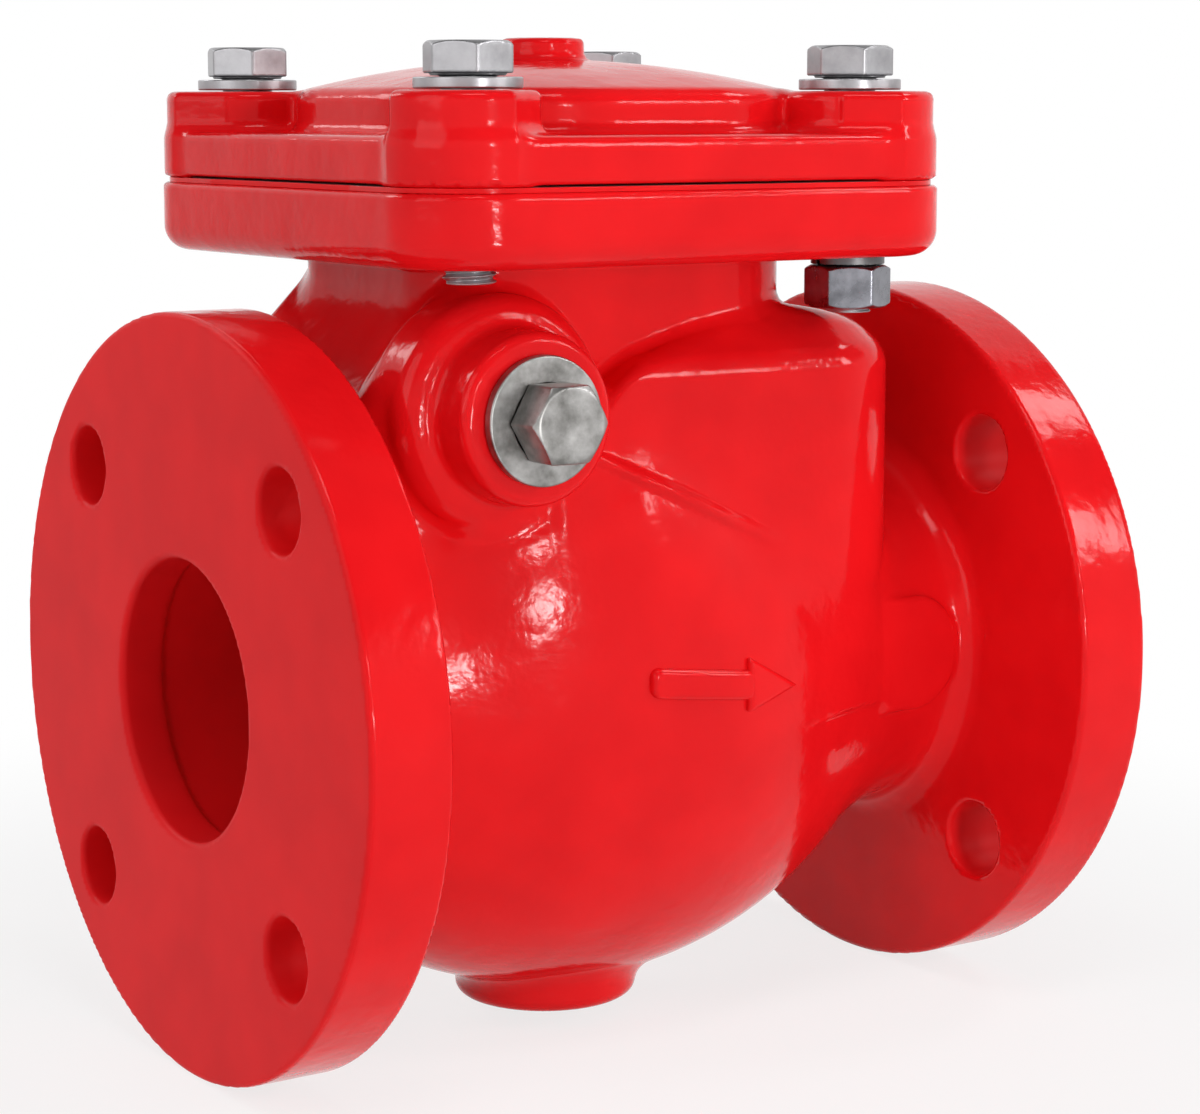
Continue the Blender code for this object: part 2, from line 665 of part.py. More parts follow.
def bonnet_cover():
    half = BONNET_HALF - COVER_INSET
    rim_top = COVER_BOTTOM + COVER_RIM
    edge = COVER_EDGE
    cover = loft(
        "bonnet_cover",
        [
            square_outline(half - edge / 2, COVER_MARGIN - edge / 2, COVER_BOTTOM),
            square_outline(half, COVER_MARGIN, COVER_BOTTOM + edge / 2),
            square_outline(half, COVER_MARGIN, rim_top - edge),
            square_outline(half - edge, COVER_MARGIN - edge, rim_top),
        ],
        part=True,
    )
    crown = [
        square_outline(COVER_CROWN + edge, COVER_CROWN_CORNER + edge, COVER_BOTTOM + COVER_RIM / 2),
        square_outline(COVER_CROWN, COVER_CROWN_CORNER, COVER_TOP - edge),
        square_outline(COVER_CROWN - edge, COVER_CROWN_CORNER - edge, COVER_TOP),
    ]
    for step in range(1, DOME_RINGS):
        share = 1 - step / DOME_RINGS
        height = COVER_TOP + COVER_DOME * (1 - share**2)
        crown.append(square_outline(COVER_CROWN * share, COVER_CROWN_CORNER * share, height))
    for corner, (x, y) in BOLT_CORNERS.items():
        join(cover, corner_boss(f"cover_boss_{corner}", x, y))
    knob_top = COVER_TOP + COVER_DOME + COVER_KNOB_HEIGHT
    middle = at(NECK_X, 0, 0)
    join(
        cover,
        loft("cover_crown", crown),
        round_boss("cover_knob", COVER_KNOB_RADIUS, COVER_TOP, knob_top, COVER_KNOB_ROUNDING, middle),
    )
    hollow_top = COVER_TOP - COVER_ROOF
    slope = OPENING_CORNER / 2
    hollow = []
    for height, inset in ((COVER_BOTTOM - CUT, 0), (hollow_top - slope, 0), (hollow_top, slope)):
        hollow.append(
            rounded_outline(
                NECK_X - OPENING_HALF_LENGTH + inset,
                NECK_X + OPENING_HALF_LENGTH - inset,
                OPENING_HALF_WIDTH - inset,
                OPENING_CORNER - inset / 2,
                OPENING_CORNER - inset / 2,
                height,
            )
        )
    cut(cover, loft("cover_hollow", hollow))
    cut_bolt_holes(cover, "cover_hole", COVER_BOTTOM - CUT, COVER_TOP + CUT)
    return painted(cover, RED, 0.3, 0.0)


def bonnet_gasket():
    low = BONNET_TOP + GAP
    high = low + GASKET_THICKNESS
    half = BONNET_HALF - COVER_INSET - GASKET_INSET
    corner = COVER_MARGIN - GASKET_INSET
    outlines = [square_outline(half, corner, height) for height in (low, high)]
    gasket = loft("bonnet_gasket", outlines, part=True)
    opening = []
    for height in (low - CUT, high + CUT):
        opening.append(
            rounded_outline(
                NECK_X - OPENING_HALF_LENGTH - GASKET_INSET,
                NECK_X + OPENING_HALF_LENGTH + GASKET_INSET,
                OPENING_HALF_WIDTH + GASKET_INSET,
                OPENING_CORNER,
                OPENING_CORNER,
                height,
            )
        )
    cut(gasket, loft("gasket_opening", opening))
    cut_bolt_holes(gasket, "gasket_hole", low - CUT, high + CUT)
    return painted(gasket, FIBRE, 0.8, 0.0)


def cover_fasteners():
    """Two screws into the bonnet flange on the inlet side, and two bolts with nuts on the outlet side."""
    lock_high = NECK_TOP - GAP
    lock_low = lock_high - LOCK_WASHER_THICKNESS
    nut_top = lock_low - GAP
    nut_low = nut_top - NUT_HEIGHT
    washer_low = COVER_TOP + GAP
    washer_high = washer_low + WASHER_THICKNESS
    bore = FASTENER / 2 + HOLE_PLAY
    for corner, (x, y) in BOLT_CORNERS.items():
        through = corner.startswith("outlet")
        length = BOLT_LENGTH if through else SCREW_LENGTH
        kind = "bolt" if through else "screw"
        place = at(x, y, 0)
        name = f"cover_washer_{corner}"
        washer = tube(name, WASHER_DIAMETER / 2, bore, washer_low, washer_high, ROUND, place)
        painted(washer, STEEL, 0.35, 1.0)
        name = f"cover_{kind}_{corner}"
        tip = HEAD_SEAT - length
        inside_head = HEAD_SEAT + HEAD_HEIGHT / 2
        fastener = rod(name, FASTENER / 2, tip, inside_head, ROUND, place, True, FASTENER_EDGE)
        name = f"cover_head_{corner}"
        join(fastener, hexagon(name, HEAD_WIDTH, HEAD_SEAT, HEAD_SEAT + HEAD_HEIGHT, HEAD_TURN, place))
        painted(fastener, STEEL, 0.35, 1.0)
        if through:
            name = f"cover_lock_washer_{corner}"
            lock = tube(name, LOCK_WASHER_DIAMETER / 2, bore, lock_low, lock_high, SMALL, place)
            painted(lock, STEEL, 0.5, 1.0)
            name = f"cover_nut_{corner}"
            nut = hexagon(name, HEAD_WIDTH, -nut_top, -nut_low, NUT_TURN, at(x, y, 0, DOWNWARDS), True)
            name = f"nut_hole_{corner}"
            cut(nut, rod(name, FASTENER / 2 + GAP, nut_low - CUT, nut_top + CUT, ROUND, place))
            painted(nut, STEEL, 0.35, 1.0)


def seat_ring(seat_axis):
    ring = tube("seat_ring", SEAT_RADIUS, PIPE_RADIUS, -SEAT_RING_LENGTH, 0, LARGE)
    ring.parent = seat_axis
    return painted(ring, BRONZE, 0.35, 1.0)


def hinge_pieces():
    """The pin, its bushes, the thrust washers beside the arm, and the plug that closes the near hole."""
    near = at(HINGE_X, 0, HINGE_HEIGHT, ALONG_MINUS_Y)
    far = at(HINGE_X, 0, HINGE_HEIGHT, ALONG_Y)
    pin = rod("hinge_pin", PIN_RADIUS, -PIN_FAR_END, PIN_NEAR_END, ROUND, near, True, PIN_EDGE)
    painted(pin, STEEL, 0.25, 1.0)
    thrust_low = ARM_HALF_WIDTH + GAP
    thrust_high = thrust_low + THRUST_WASHER_THICKNESS
    thrust_radius = BUSH_BORE + THRUST_WASHER_WALL
    bush_low = BUSH_END - BUSH_LENGTH
    for side, place in (("near", near), ("far", far)):
        bush = tube(f"hinge_bush_{side}", BUSH_RADIUS, BUSH_BORE, bush_low, BUSH_END, ROUND, place)
        painted(bush, BRONZE, 0.35, 1.0)
        name = f"thrust_washer_{side}"
        thrust_washer = tube(name, thrust_radius, BUSH_BORE, thrust_low, thrust_high, ROUND, place)
        painted(thrust_washer, BRONZE, 0.35, 1.0)
    washer_low = PLUG_PAD_REACH + GAP
    washer_high = washer_low + PLUG_WASHER_THICKNESS
    outer = PLUG_WASHER_DIAMETER / 2
    bore = PLUG_THREAD / 2 + GAP
    washer = tube("plug_washer", outer, bore, washer_low, washer_high, BOSS, near, PLUG_WASHER_EDGE)
    painted(washer, STEEL, 0.25, 1.0)
    head_low = washer_high + GAP
    head_high = head_low + PLUG_HEAD_HEIGHT
    inside_head = head_low + PLUG_HEAD_HEIGHT / 2
    tip = PIN_NEAR_END + GAP
    plug = rod("hinge_plug", PLUG_THREAD / 2, tip, inside_head, ROUND, near, True, FASTENER_EDGE)
    join(plug, hexagon("plug_head", PLUG_WIDTH, head_low, head_high, 0.0, near))
    painted(plug, STEEL, 0.25, 1.0)


def box_across(x, half, low, high):
    """One outline of a bar that runs down the arm."""
    return [Vector((x, y, z)) for y, z in ((-half, low), (half, low), (half, high), (-half, high))]


def clapper_arm(hinge_axis):
    """The lever from the hinge pin to the disc's stud, with a rib on its back."""
    half = ARM_HALF_WIDTH
    arm = rod("clapper_arm", ARM_HUB_RADIUS, -half, half, ROUND, ALONG_MINUS_Y, True, ARM_EDGE)
    front = ARM_FRONT - HINGE_AHEAD
    back = ARM_BACK - HINGE_AHEAD
    boss_radius = ARM_BOSS_DIAMETER / 2
    boss_place = at(DISC_BELOW, 0, 0)
    boss = rod("arm_boss", boss_radius, front, back, ROUND, boss_place, edge=ARM_EDGE)
    web_high = back - (ARM_BOSS_THICKNESS - ARM_THICKNESS) / 2
    web_low = web_high - ARM_THICKNESS
    web = loft(
        "arm_web",
        [
            box_across(ARM_LAP, half * ARM_SHOULDER_SHARE, web_low - ARM_CRANK, web_high - ARM_CRANK),
            box_across(DISC_BELOW * ARM_WAIST_PLACE_SHARE, boss_radius * ARM_WAIST_SHARE, web_low, web_high),
            box_across(DISC_BELOW - boss_radius / 2, boss_radius * ARM_FOOT_SHARE, web_low, web_high),
        ],
    )
    rib_half = ARM_RIB_WIDTH / 2
    rib_low = web_high - ARM_THICKNESS / 2
    rib_end = DISC_BELOW - STUD_WASHER_DIAMETER / 2 - GAP
    rib_high = web_high + ARM_RIB_HEIGHT
    rib = loft(
        "arm_rib",
        [
            box_across(ARM_LAP / 2, rib_half, rib_low, web_high + ARM_EDGE),
            box_across(DISC_BELOW * ARM_RIB_PLACE_SHARE, rib_half, rib_low, rib_high),
            box_across(rib_end - ARM_RIB_HEIGHT, rib_half, rib_low, rib_high),
            box_across(rib_end, rib_half, rib_low, web_high - ARM_EDGE),
        ],
    )
    join(arm, boss, web, rib)
    cut(
        arm,
        rod("arm_pin_bore", BUSH_BORE, -half - CUT, half + CUT, ROUND, ALONG_MINUS_Y),
        rod("arm_stud_bore", STUD_RADIUS + PIN_PLAY, front - CUT, back + CUT, ROUND, boss_place),
    )
    for obj in with_cutters(arm):
        obj.parent = hinge_axis
    return painted(arm, BRONZE, 0.45, 1.0)


def disc_pieces(disc_axis):
    """The disc with its rubber face, all turned about the stud, which lets it spin in the arm."""
    hole = STUD_RADIUS + GAP
    seal_outer = DISC_RADIUS - DISC_RIM
    seal_inner = seal_outer - SEAL_WIDTH
    recess = DISC_FRONT + SEAL_THICKNESS - SEAL_PROUD + GAP
    plate_radius = seal_inner + SEAL_WIDTH / 3
    hub_radius = STUD_HEAD_DIAMETER / 2 + DISC_STEP
    disc = turned(
        "clapper_disc",
        [
            (hub_radius, DISC_BACK),
            (DISC_RADIUS - DISC_STEP, DISC_BACK - DISC_STEP_HEIGHT),
            (DISC_RADIUS, DISC_BACK - 2 * DISC_STEP_HEIGHT),
            (DISC_RADIUS, DISC_FRONT),
            (seal_outer + GAP, DISC_FRONT),
            (seal_outer + GAP, recess),
            (seal_inner - GAP, recess),
            (seal_inner - GAP, DISC_FRONT + GAP),
            (hole, DISC_FRONT + GAP),
            (hole, DISC_BACK),
        ],
        LARGE,
        ring=True,
        part=True,
    )
    painted(disc, BRONZE, 0.45, 1.0)
    seal = tube("disc_seal", seal_outer, seal_inner, GAP, GAP + SEAL_THICKNESS, LARGE)
    painted(seal, BLACK, 0.7, 0.0)
    plate = tube("seal_retainer", plate_radius, hole, -RETAINER_THICKNESS, 0, LARGE)
    painted(plate, BRONZE, 0.4, 1.0)
    stack = ARM_BACK + GAP
    nut_low = stack + STUD_WASHER_THICKNESS + GAP
    nut_high = nut_low + STUD_NUT_HEIGHT
    washer = tube("stud_washer", STUD_WASHER_DIAMETER / 2, hole, stack, stack + STUD_WASHER_THICKNESS, ROUND)
    painted(washer, STEEL, 0.3, 1.0)
    nut = hexagon("stud_nut", STUD_NUT_WIDTH, nut_low, nut_high, 0.0, part=True)
    cut(nut, rod("stud_nut_bore", hole, nut_low - CUT, nut_high + CUT, ROUND))
    painted(nut, STEEL, 0.3, 1.0)
    head_top = -RETAINER_THICKNESS - GAP
    head_radius = STUD_HEAD_DIAMETER / 2
    tip = nut_high + STUD_TAIL
    stud = turned(
        "disc_stud",
        [
            (0, tip),
            (STUD_RADIUS - STUD_EDGE, tip),
            (STUD_RADIUS, tip - STUD_EDGE),
            (STUD_RADIUS, head_top),
            (head_radius, head_top),
            (head_radius, head_top - STUD_HEAD_HEIGHT / 2),
            (head_radius - STUD_HEAD_HEIGHT / 2, head_top - STUD_HEAD_HEIGHT),
            (0, head_top - STUD_HEAD_HEIGHT),
        ],
        ROUND,
        part=True,
    )
    cotter_height = nut_high + STUD_TAIL / 2
    beyond = STUD_RADIUS + CUT
    place = at(0, 0, cotter_height, ALONG_X)
    cut(stud, rod("cotter_hole", COTTER_WIRE + 2 * GAP, -beyond, beyond, SMALL, place))
    painted(stud, STEEL, 0.3, 1.0)
    for obj in with_cutters(disc, seal, plate, washer, nut, stud, cotter_pin(cotter_height)):
        obj.parent = disc_axis


def cotter_pin(height):
    """One wire bent back on itself: an eye below the stud and two legs opened above it."""
    wire = COTTER_WIRE / 2
    leg = wire + GAP / 3
    reach = STUD_RADIUS + COTTER_OVERHANG
    turn_back = reach + COTTER_SPREAD
    eye_middle = STUD_RADIUS + COTTER_WIRE / 2 + COTTER_EYE
    start = math.degrees(math.asin(leg / COTTER_EYE))
    points = [(-turn_back, -leg - COTTER_SPREAD), (-reach, -leg - COTTER_SPREAD / 3), (-STUD_RADIUS, -leg)]
    points += arc(eye_middle, 0, COTTER_EYE, 180 + start, 540 - start, 10)
    points += [(-STUD_RADIUS, leg), (-reach, leg + COTTER_SPREAD / 3), (-turn_back, leg + COTTER_SPREAD)]
    curve = bpy.data.curves.new("cotter_pin", "CURVE")
    curve.dimensions = "3D"
    curve.bevel_depth = wire
    curve.bevel_resolution = 1
    curve.use_fill_caps = True
    spline = curve.splines.new("POLY")
    spline.points.add(len(points) - 1)
    for point, (x, y) in zip(spline.points, points):
        point.co = (x, y, height, 1)
    obj = bpy.data.objects.new("cotter_pin", curve)
    PARTS.objects.link(obj)
    return painted(obj, STEEL, 0.4, 1.0)


def empty(name, place):
    """A bare axis that pieces are parented to."""
    axis = bpy.data.objects.new(name, None)
    axis.matrix_world = place
    PARTS.objects.link(axis)
    return axis


clear_scene()
PARTS = new_collection("non_return_valve")
CUTTERS = new_collection("cutters")
CUTTERS.hide_render = True

hinge_empty = empty("hinge_axis", Matrix.Translation(HINGE) @ SEAT_TURN)
seat_empty = empty("seat_axis", Matrix.Translation(SEAT_CENTRE) @ SEAT_TURN)
disc_empty = empty("disc_axis", at(DISC_BELOW, 0, -HINGE_AHEAD))
disc_empty.parent = hinge_empty

valve_body()
bonnet_gasket()
bonnet_cover()
cover_fasteners()
seat_ring(seat_empty)
hinge_pieces()
clapper_arm(hinge_empty)
disc_pieces(disc_empty)
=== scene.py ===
import math

import bmesh
import bpy
import numpy as np
from mathutils import Matrix, Vector


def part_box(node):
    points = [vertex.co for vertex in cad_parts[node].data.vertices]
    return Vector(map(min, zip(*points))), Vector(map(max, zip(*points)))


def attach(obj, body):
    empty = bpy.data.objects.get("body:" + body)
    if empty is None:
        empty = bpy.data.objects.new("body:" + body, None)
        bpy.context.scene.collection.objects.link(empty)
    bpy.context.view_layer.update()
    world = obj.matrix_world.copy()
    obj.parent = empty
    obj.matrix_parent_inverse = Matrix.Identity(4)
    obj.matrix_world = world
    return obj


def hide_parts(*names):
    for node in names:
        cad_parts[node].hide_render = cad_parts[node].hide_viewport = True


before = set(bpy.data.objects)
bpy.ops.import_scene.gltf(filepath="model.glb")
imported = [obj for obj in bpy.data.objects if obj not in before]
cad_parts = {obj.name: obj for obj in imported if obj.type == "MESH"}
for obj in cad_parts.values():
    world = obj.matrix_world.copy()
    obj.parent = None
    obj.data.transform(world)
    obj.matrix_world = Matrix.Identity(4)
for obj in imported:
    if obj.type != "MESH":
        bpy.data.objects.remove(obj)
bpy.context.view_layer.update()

# Pipe run, in metres, in the frame of the CAD: the origin is the middle of the inlet flange's face
BODY_LOW, BODY_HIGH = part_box("valve_body")
FACE_TO_FACE = BODY_HIGH.x
RIM = BODY_HIGH.y
BORE = 0.03275
FLANGE = 0.020
BOLT_CIRCLE = 0.06985
BOLT_OFFSET = BOLT_CIRCLE / math.sqrt(2)
BOLT_HOLE = 0.0095
HUB = BORE + 0.013
RELIEF = BORE + 0.0012
RELIEF_START = 0.011

# Casting
WALL = 0.008
BELLY_MIDDLE = 0.104
BELLY_HALF_LENGTH = 0.095
BELLY_HALF = 0.06005
BELLY_DEPTH = 0.081
BELLY_SQUARENESS = 1.1
SQUARE_END = (0.085, 0.125)
CHAMBER_HALF = 0.05225
CHAMBER_END = 0.1790
CHAMBER_CORNER = 0.030
CHAMBER_TOP = 0.076
OBLIQUE_START = 0.0215
OBLIQUE_RUN = 0.026
SHOULDER_RUN = 0.037
SHOULDER_EDGE = 0.007
SHOULDER_RISE = 0.011
NECK_X = 0.0986
NECK_HALF_LENGTH = 0.051
NECK_HALF_WIDTH = 0.040
NECK_CORNER = (0.020, 0.0235)
NECK_FOOT = 0.020
NECK_TOP = 0.100
BONNET_HALF = 0.0733
BONNET_CORNER = 0.0209
BONNET_TOP = BODY_HIGH.z
BONNET_ROUNDING = 0.006
BOLT_PITCH = 0.1048
COVER_HOLE = 0.0065
DRAIN_RADIUS = 0.0226
DRAIN_LOW = 0.0845
GAUGE_PAD = (0.168, 0.1915)
GAUGE_PAD_HALF = 0.0143
GAUGE_PAD_CORNER = 0.0125
GAUGE_PAD_FACE = HUB + 0.0013
ARROW_SHAFT = (0.0895, 0.1190)
ARROW_HALF = 0.0036
ARROW_TIP = 0.1330
ARROW_HEAD_HALF = 0.0068
ARROW_HEIGHT = 0.0041
ARROW_FALL = 0.12
ARROW_PROUD = 0.0018
RIDGE_START = (0.0790, 0.0562)
RIDGE_END = (0.1340, 0.0316)
RIDGE_HALF = 0.0024
RIDGE_HEIGHT = 0.0017
RIDGE_FADE = 0.020

# Hinge, seat and clapper
HINGE = Vector((0.058, 0, 0.0667))
SEAT = Vector((0.054, 0, 0))
SEAT_TILT = math.radians(5)
FLOW = Vector((math.cos(SEAT_TILT), 0, math.sin(SEAT_TILT)))
DOWN = Vector((math.sin(SEAT_TILT), 0, -math.cos(SEAT_TILT)))
SEAT_RADIUS = 0.03875
SEAT_LENGTH = 0.009
GAP = 0.0003
ARM_HUB = 0.0108
HUB_ROOM = 0.004
BOSS_FOOT = 0.030
PLUG_BOSS = (0.027, 0.050)
PLUG_PAD = (0.0195, 0.0625)
FAR_BOSS = (0.016, 0.0501)
BUSH_HOLE = 0.0073
BUSH_HOLE_ENDS = (-0.0458, 0.0444)
PLUG_HOLE = 0.0083
PLUG_HOLE_START = 0.0455

# Cover
COVER_LOW, COVER_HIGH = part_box("bonnet_cover")
COVER_HALF = (COVER_HIGH.y - COVER_LOW.y) / 2
COVER_CORNER = COVER_HALF - BOLT_PITCH / 2
COVER_RIM_TOP = COVER_LOW.z + 0.0105
COVER_TOP = COVER_LOW.z + 0.0202
CROWN_HALF = 0.054
CROWN_CORNER = 0.040
CROWN_DOME = 0.0076
CORNER_BOSS = 0.016
KNOB = 0.010
OPENING = (0.043, 0.032)
OPENING_CORNER = 0.012
COVER_ROOF = 0.009
GASKET_INSET = 0.002
JOINT_EDGE_INSET = 0.0003
JOINT_EDGE_WIDTH = 0.0012
JOINT_EDGE_THICKNESS = 0.00115
JOINT_EDGE_RISE = 0.0006

# Clapper, along and across the tilted seat, or from the hinge pin
PIN = 0.005
STUD = 0.006
STUD_HEAD = (0.011, 0.004)
HEAD_FACE = -0.0033
STUD_TIP = 0.0407
NUT_LOW = 0.0247
NUT_HIGH = 0.0337
COTTER_HEIGHT = 0.0372
COTTER_HOLE = 0.0011
DISC_BELOW = (SEAT - HINGE).dot(DOWN)
HINGE_AHEAD = (HINGE - SEAT).dot(FLOW)
ARM_HALF = 0.0284
ARM_EYE = (0.014, 0.0116 - HINGE_AHEAD, 0.0216 - HINGE_AHEAD)
ARM_WAIST = (0.0297, 0.0119)
ARM_SHOULDER = 0.0199
ARM_THICKNESS = 0.008
ARM_CRANK = 0.004
ARM_RIB_HEIGHT = 0.005
ARM_RIB_START = 0.0231
ARM_RIB_HALF = 0.004
RIB_END = DISC_BELOW - 0.0123
DISC_PROFILE = [
    (0.0150, 0.0113), (0.03525, 0.0078), (0.03925, 0.0043), (0.03925, 0.0013), (0.03705, 0.0013),
    (0.03705, 0.0046), (0.02495, 0.0046), (0.02495, 0.0016), (0.0063, 0.0016), (0.0063, 0.0113),
]

# Rings: outer and inner radius, low and high end
SEAL = (0.03675, 0.02525, 0.0003, 0.0043)
SEAL_PLATE = (0.02908, 0.0063, -0.003, 0)
STUD_WASHER = (0.012, 0.0063, 0.0219, 0.0244)
PIN_BUSH = (0.0070, PIN + GAP, 0.0323, 0.0438)
THRUST_WASHER = (0.0093, PIN + GAP, 0.0287, 0.0317)
FLAT_WASHER = (0.012, COVER_HOLE, 0, 0.0025)

# Fasteners
FASTENER = 0.006
THREAD_PITCH = 0.00175
HEAD_WIDTH = 0.018
HEAD_HEIGHT = 0.0075
HEAD_SEAT = COVER_TOP + 0.0031
HEAD_TURN = math.radians(11)
NUT_TURN = math.radians(-33)
NUT_HEIGHT = 0.010
LOCK_WASHER = 0.00875
LOCK_HIGH = NECK_TOP - GAP
LOCK_LOW = LOCK_HIGH - 0.0018
NUT_TOP = LOCK_LOW - GAP
HEX_EDGE = 0.0004
HEX_CHAMFER = 0.485
HEX_SLOPE = 0.577
HEX_BOX = 0.0106
NUT_COUNTERSINK = 0.0008
SCREW_LENGTHS = {"screw": (0.045, 0.030), "short_screw": (0.041, 0.026), "bolt": (0.055, 0.036)}
PLUG_THREAD = 0.008
PLUG_PITCH = 0.0015
PLUG_TIP = 0.0461
PLUG_WIDTH = 0.017
PLUG_HEAD_HEIGHT = 0.010
PLUG_BOX = 0.0103
PLUG_TOP = 0.0757
PLUG_WASHER_RADIUS = 0.0145
PLUG_WASHER_THICKNESS = 0.0026
PIN_ENDS = (-0.0441, 0.0458)

# Camera
LENS = 89.17
CAMERA_PLACE = Vector((-0.28965, -0.61053, 0.13518))
CAMERA_RIGHT = Vector((0.8334, -0.5526, 0))
CAMERA_UP = Vector((0.0832, 0.1254, 0.9885))

# Mesh cells
CAST_CELL = 0.00125
ARM_CELL = 0.0007
SMALL_CELL = 0.0004
TURN_SIDES = 96

BOLT_CORNERS = {
    "inlet_near": (NECK_X - BOLT_PITCH / 2, -BOLT_PITCH / 2),
    "inlet_far": (NECK_X - BOLT_PITCH / 2, BOLT_PITCH / 2),
    "outlet_near": (NECK_X + BOLT_PITCH / 2, -BOLT_PITCH / 2),
    "outlet_far": (NECK_X + BOLT_PITCH / 2, BOLT_PITCH / 2),
}


# Distance fields: each gives the distance to a surface, negative inside, for arrays of points

def union(a, b, fillet=0.0):
    """One form or the other, with a round fillet where they meet."""
    if not fillet:
        return np.minimum(a, b)
    reach = np.hypot(np.maximum(fillet - a, 0), np.maximum(fillet - b, 0))
    return np.maximum(fillet, np.minimum(a, b)) - reach


def common(a, b, edge=0.0):
    """What both forms share, with a rounded edge."""
    return -union(-a, -b, edge)


def less(a, b, edge=0.0):
    """The first form with the second cut out of it."""
    return -union(-a, b, edge)


def between(value, low, high):
    return np.maximum(low - value, value - high)


def smooth(share):
    share = np.clip(share, 0, 1)
    return share * share * (3 - 2 * share)


def bar(along, across, low, high, radius, edge=0.0):
    """A round bar, from its coordinate along the axis and its distance from it."""
    return common(between(along, low, high), across - radius, edge)


def plan(x, y, low, high, half, inlet_corner, outlet_corner):
    """A rectangle with round corners, seen from above."""
    middle = (low + high) / 2
    corner = np.where(x < middle, inlet_corner, outlet_corner)
    over_x = np.abs(x - middle) - (high - low) / 2 + corner
    over_y = np.abs(y) - half + corner
    outside = np.hypot(np.maximum(over_x, 0), np.maximum(over_y, 0))
    return outside + np.minimum(np.maximum(over_x, over_y), 0) - corner


def slope(rise, run, height, along):
    """Below a plane that climbs by rise over run."""
    return (run * height - rise * along) / math.hypot(rise, run)


def belly(x, y, z):
    """Round below, and squarer above, where it turns round again towards the outlet."""
    square = smooth((SQUARE_END[1] - x) / (SQUARE_END[1] - SQUARE_END[0]))
    power = np.where(z > 0, 2 + BELLY_SQUARENESS * square, 2.0)
    across = np.abs(y) / BELLY_HALF + 1e-9
    up = np.abs(z) / BELLY_DEPTH + 1e-9
    around = (across**power + up**power) ** (1 / power)
    along = (x - BELLY_MIDDLE) / BELLY_HALF_LENGTH
    size = np.hypot(along, around) + 1e-9
    fade = around ** (2 - power)
    steep_y = fade * across ** (power - 1) / BELLY_HALF
    steep_z = fade * up ** (power - 1) / BELLY_DEPTH
    steep = np.sqrt((along / BELLY_HALF_LENGTH) ** 2 + steep_y**2 + steep_z**2) / size
    return (size - 1) / np.maximum(steep, 1 / BELLY_HALF_LENGTH)


def ellipsoid(x, y, z, middle, half_x, half_y, half_z):
    size = np.sqrt(((x - middle) / half_x) ** 2 + (y / half_y) ** 2 + (z / half_z) ** 2)
    steep = np.sqrt(((x - middle) / half_x**2) ** 2 + (y / half_y**2) ** 2 + (z / half_z**2) ** 2)
    return size * (size - 1) / np.maximum(steep, 1e-6)


def chamber(x, y, z, wall, edge):
    """The flat-sided swing chamber, with a sloping shoulder and an oblique inlet end."""
    inset = WALL - wall
    start = HINGE.x + ARM_HUB + inset
    end = CHAMBER_END - inset
    half = CHAMBER_HALF - inset
    top = CHAMBER_TOP - inset
    corner = CHAMBER_CORNER - inset
    sides = plan(x, y, start - OBLIQUE_RUN, end, half, corner, corner)
    neck_step = half - (NECK_HALF_WIDTH - inset)
    roof = slope(SHOULDER_RISE, neck_step, z - top, -sides)
    end_run = end - (NECK_X + NECK_HALF_LENGTH - inset) - SHOULDER_EDGE
    roof_end = slope(SHOULDER_RISE - SHOULDER_EDGE, end_run, z - top - SHOULDER_EDGE, end - SHOULDER_EDGE - x)
    form = common(common(sides, roof, edge), roof_end, edge)
    oblique = x - start
    lower = slope(OBLIQUE_START, OBLIQUE_START, z - top + OBLIQUE_START, oblique)
    upper = slope(SHOULDER_RISE, SHOULDER_RUN, z - top, oblique - OBLIQUE_START)
    front = common(common(lower, upper, edge), -oblique, edge)
    return common(common(form, front, edge), -0.010 - z)


def neck(x, y, z, wall, low_x, foot, top, edge):
    """The column under the bonnet flange, with its inlet side sloping down over the hinge."""
    start = NECK_X - NECK_HALF_LENGTH + WALL - wall
    end = NECK_X + NECK_HALF_LENGTH - WALL + wall
    half = NECK_HALF_WIDTH - WALL + wall
    corner, outlet_corner = (size - WALL + wall for size in NECK_CORNER)
    room = (ARM_HUB + HUB_ROOM + wall) * math.sqrt(2)
    column = plan(x, y, start, end, half, corner, outlet_corner)
    lobe = plan(x, y, low_x, end, half, 0.4 * corner, outlet_corner)
    over_hinge = slope(1, 1, z - HINGE.z - room, x - HINGE.x)
    form = union(column, common(lobe, over_hinge, edge), edge)
    return common(form, between(z, foot, top))


def square_plan(x, y, half, corner):
    """A square with round corners about the bonnet's middle, seen from above."""
    return plan(x, y, NECK_X - half, NECK_X + half, half, corner, corner)


def flow_arrow(x, y, z):
    """A plain raised arrow on the near side of the belly, pointing the way that the water flows."""
    up = np.abs(z - ARROW_HEIGHT + ARROW_FALL * (x - ARROW_SHAFT[0]))
    shaft = common(between(x, *ARROW_SHAFT), up - ARROW_HALF, 0.0025)
    start = ARROW_SHAFT[1] - 0.002
    run = ARROW_TIP - start
    head = common(slope(ARROW_HEAD_HALF, run, up, ARROW_TIP - x), start - x, 0.001)
    proud = between(belly(x, y, z), -ARROW_PROUD, ARROW_PROUD)
    return common(common(union(shaft, head), proud, 0.0015), y)


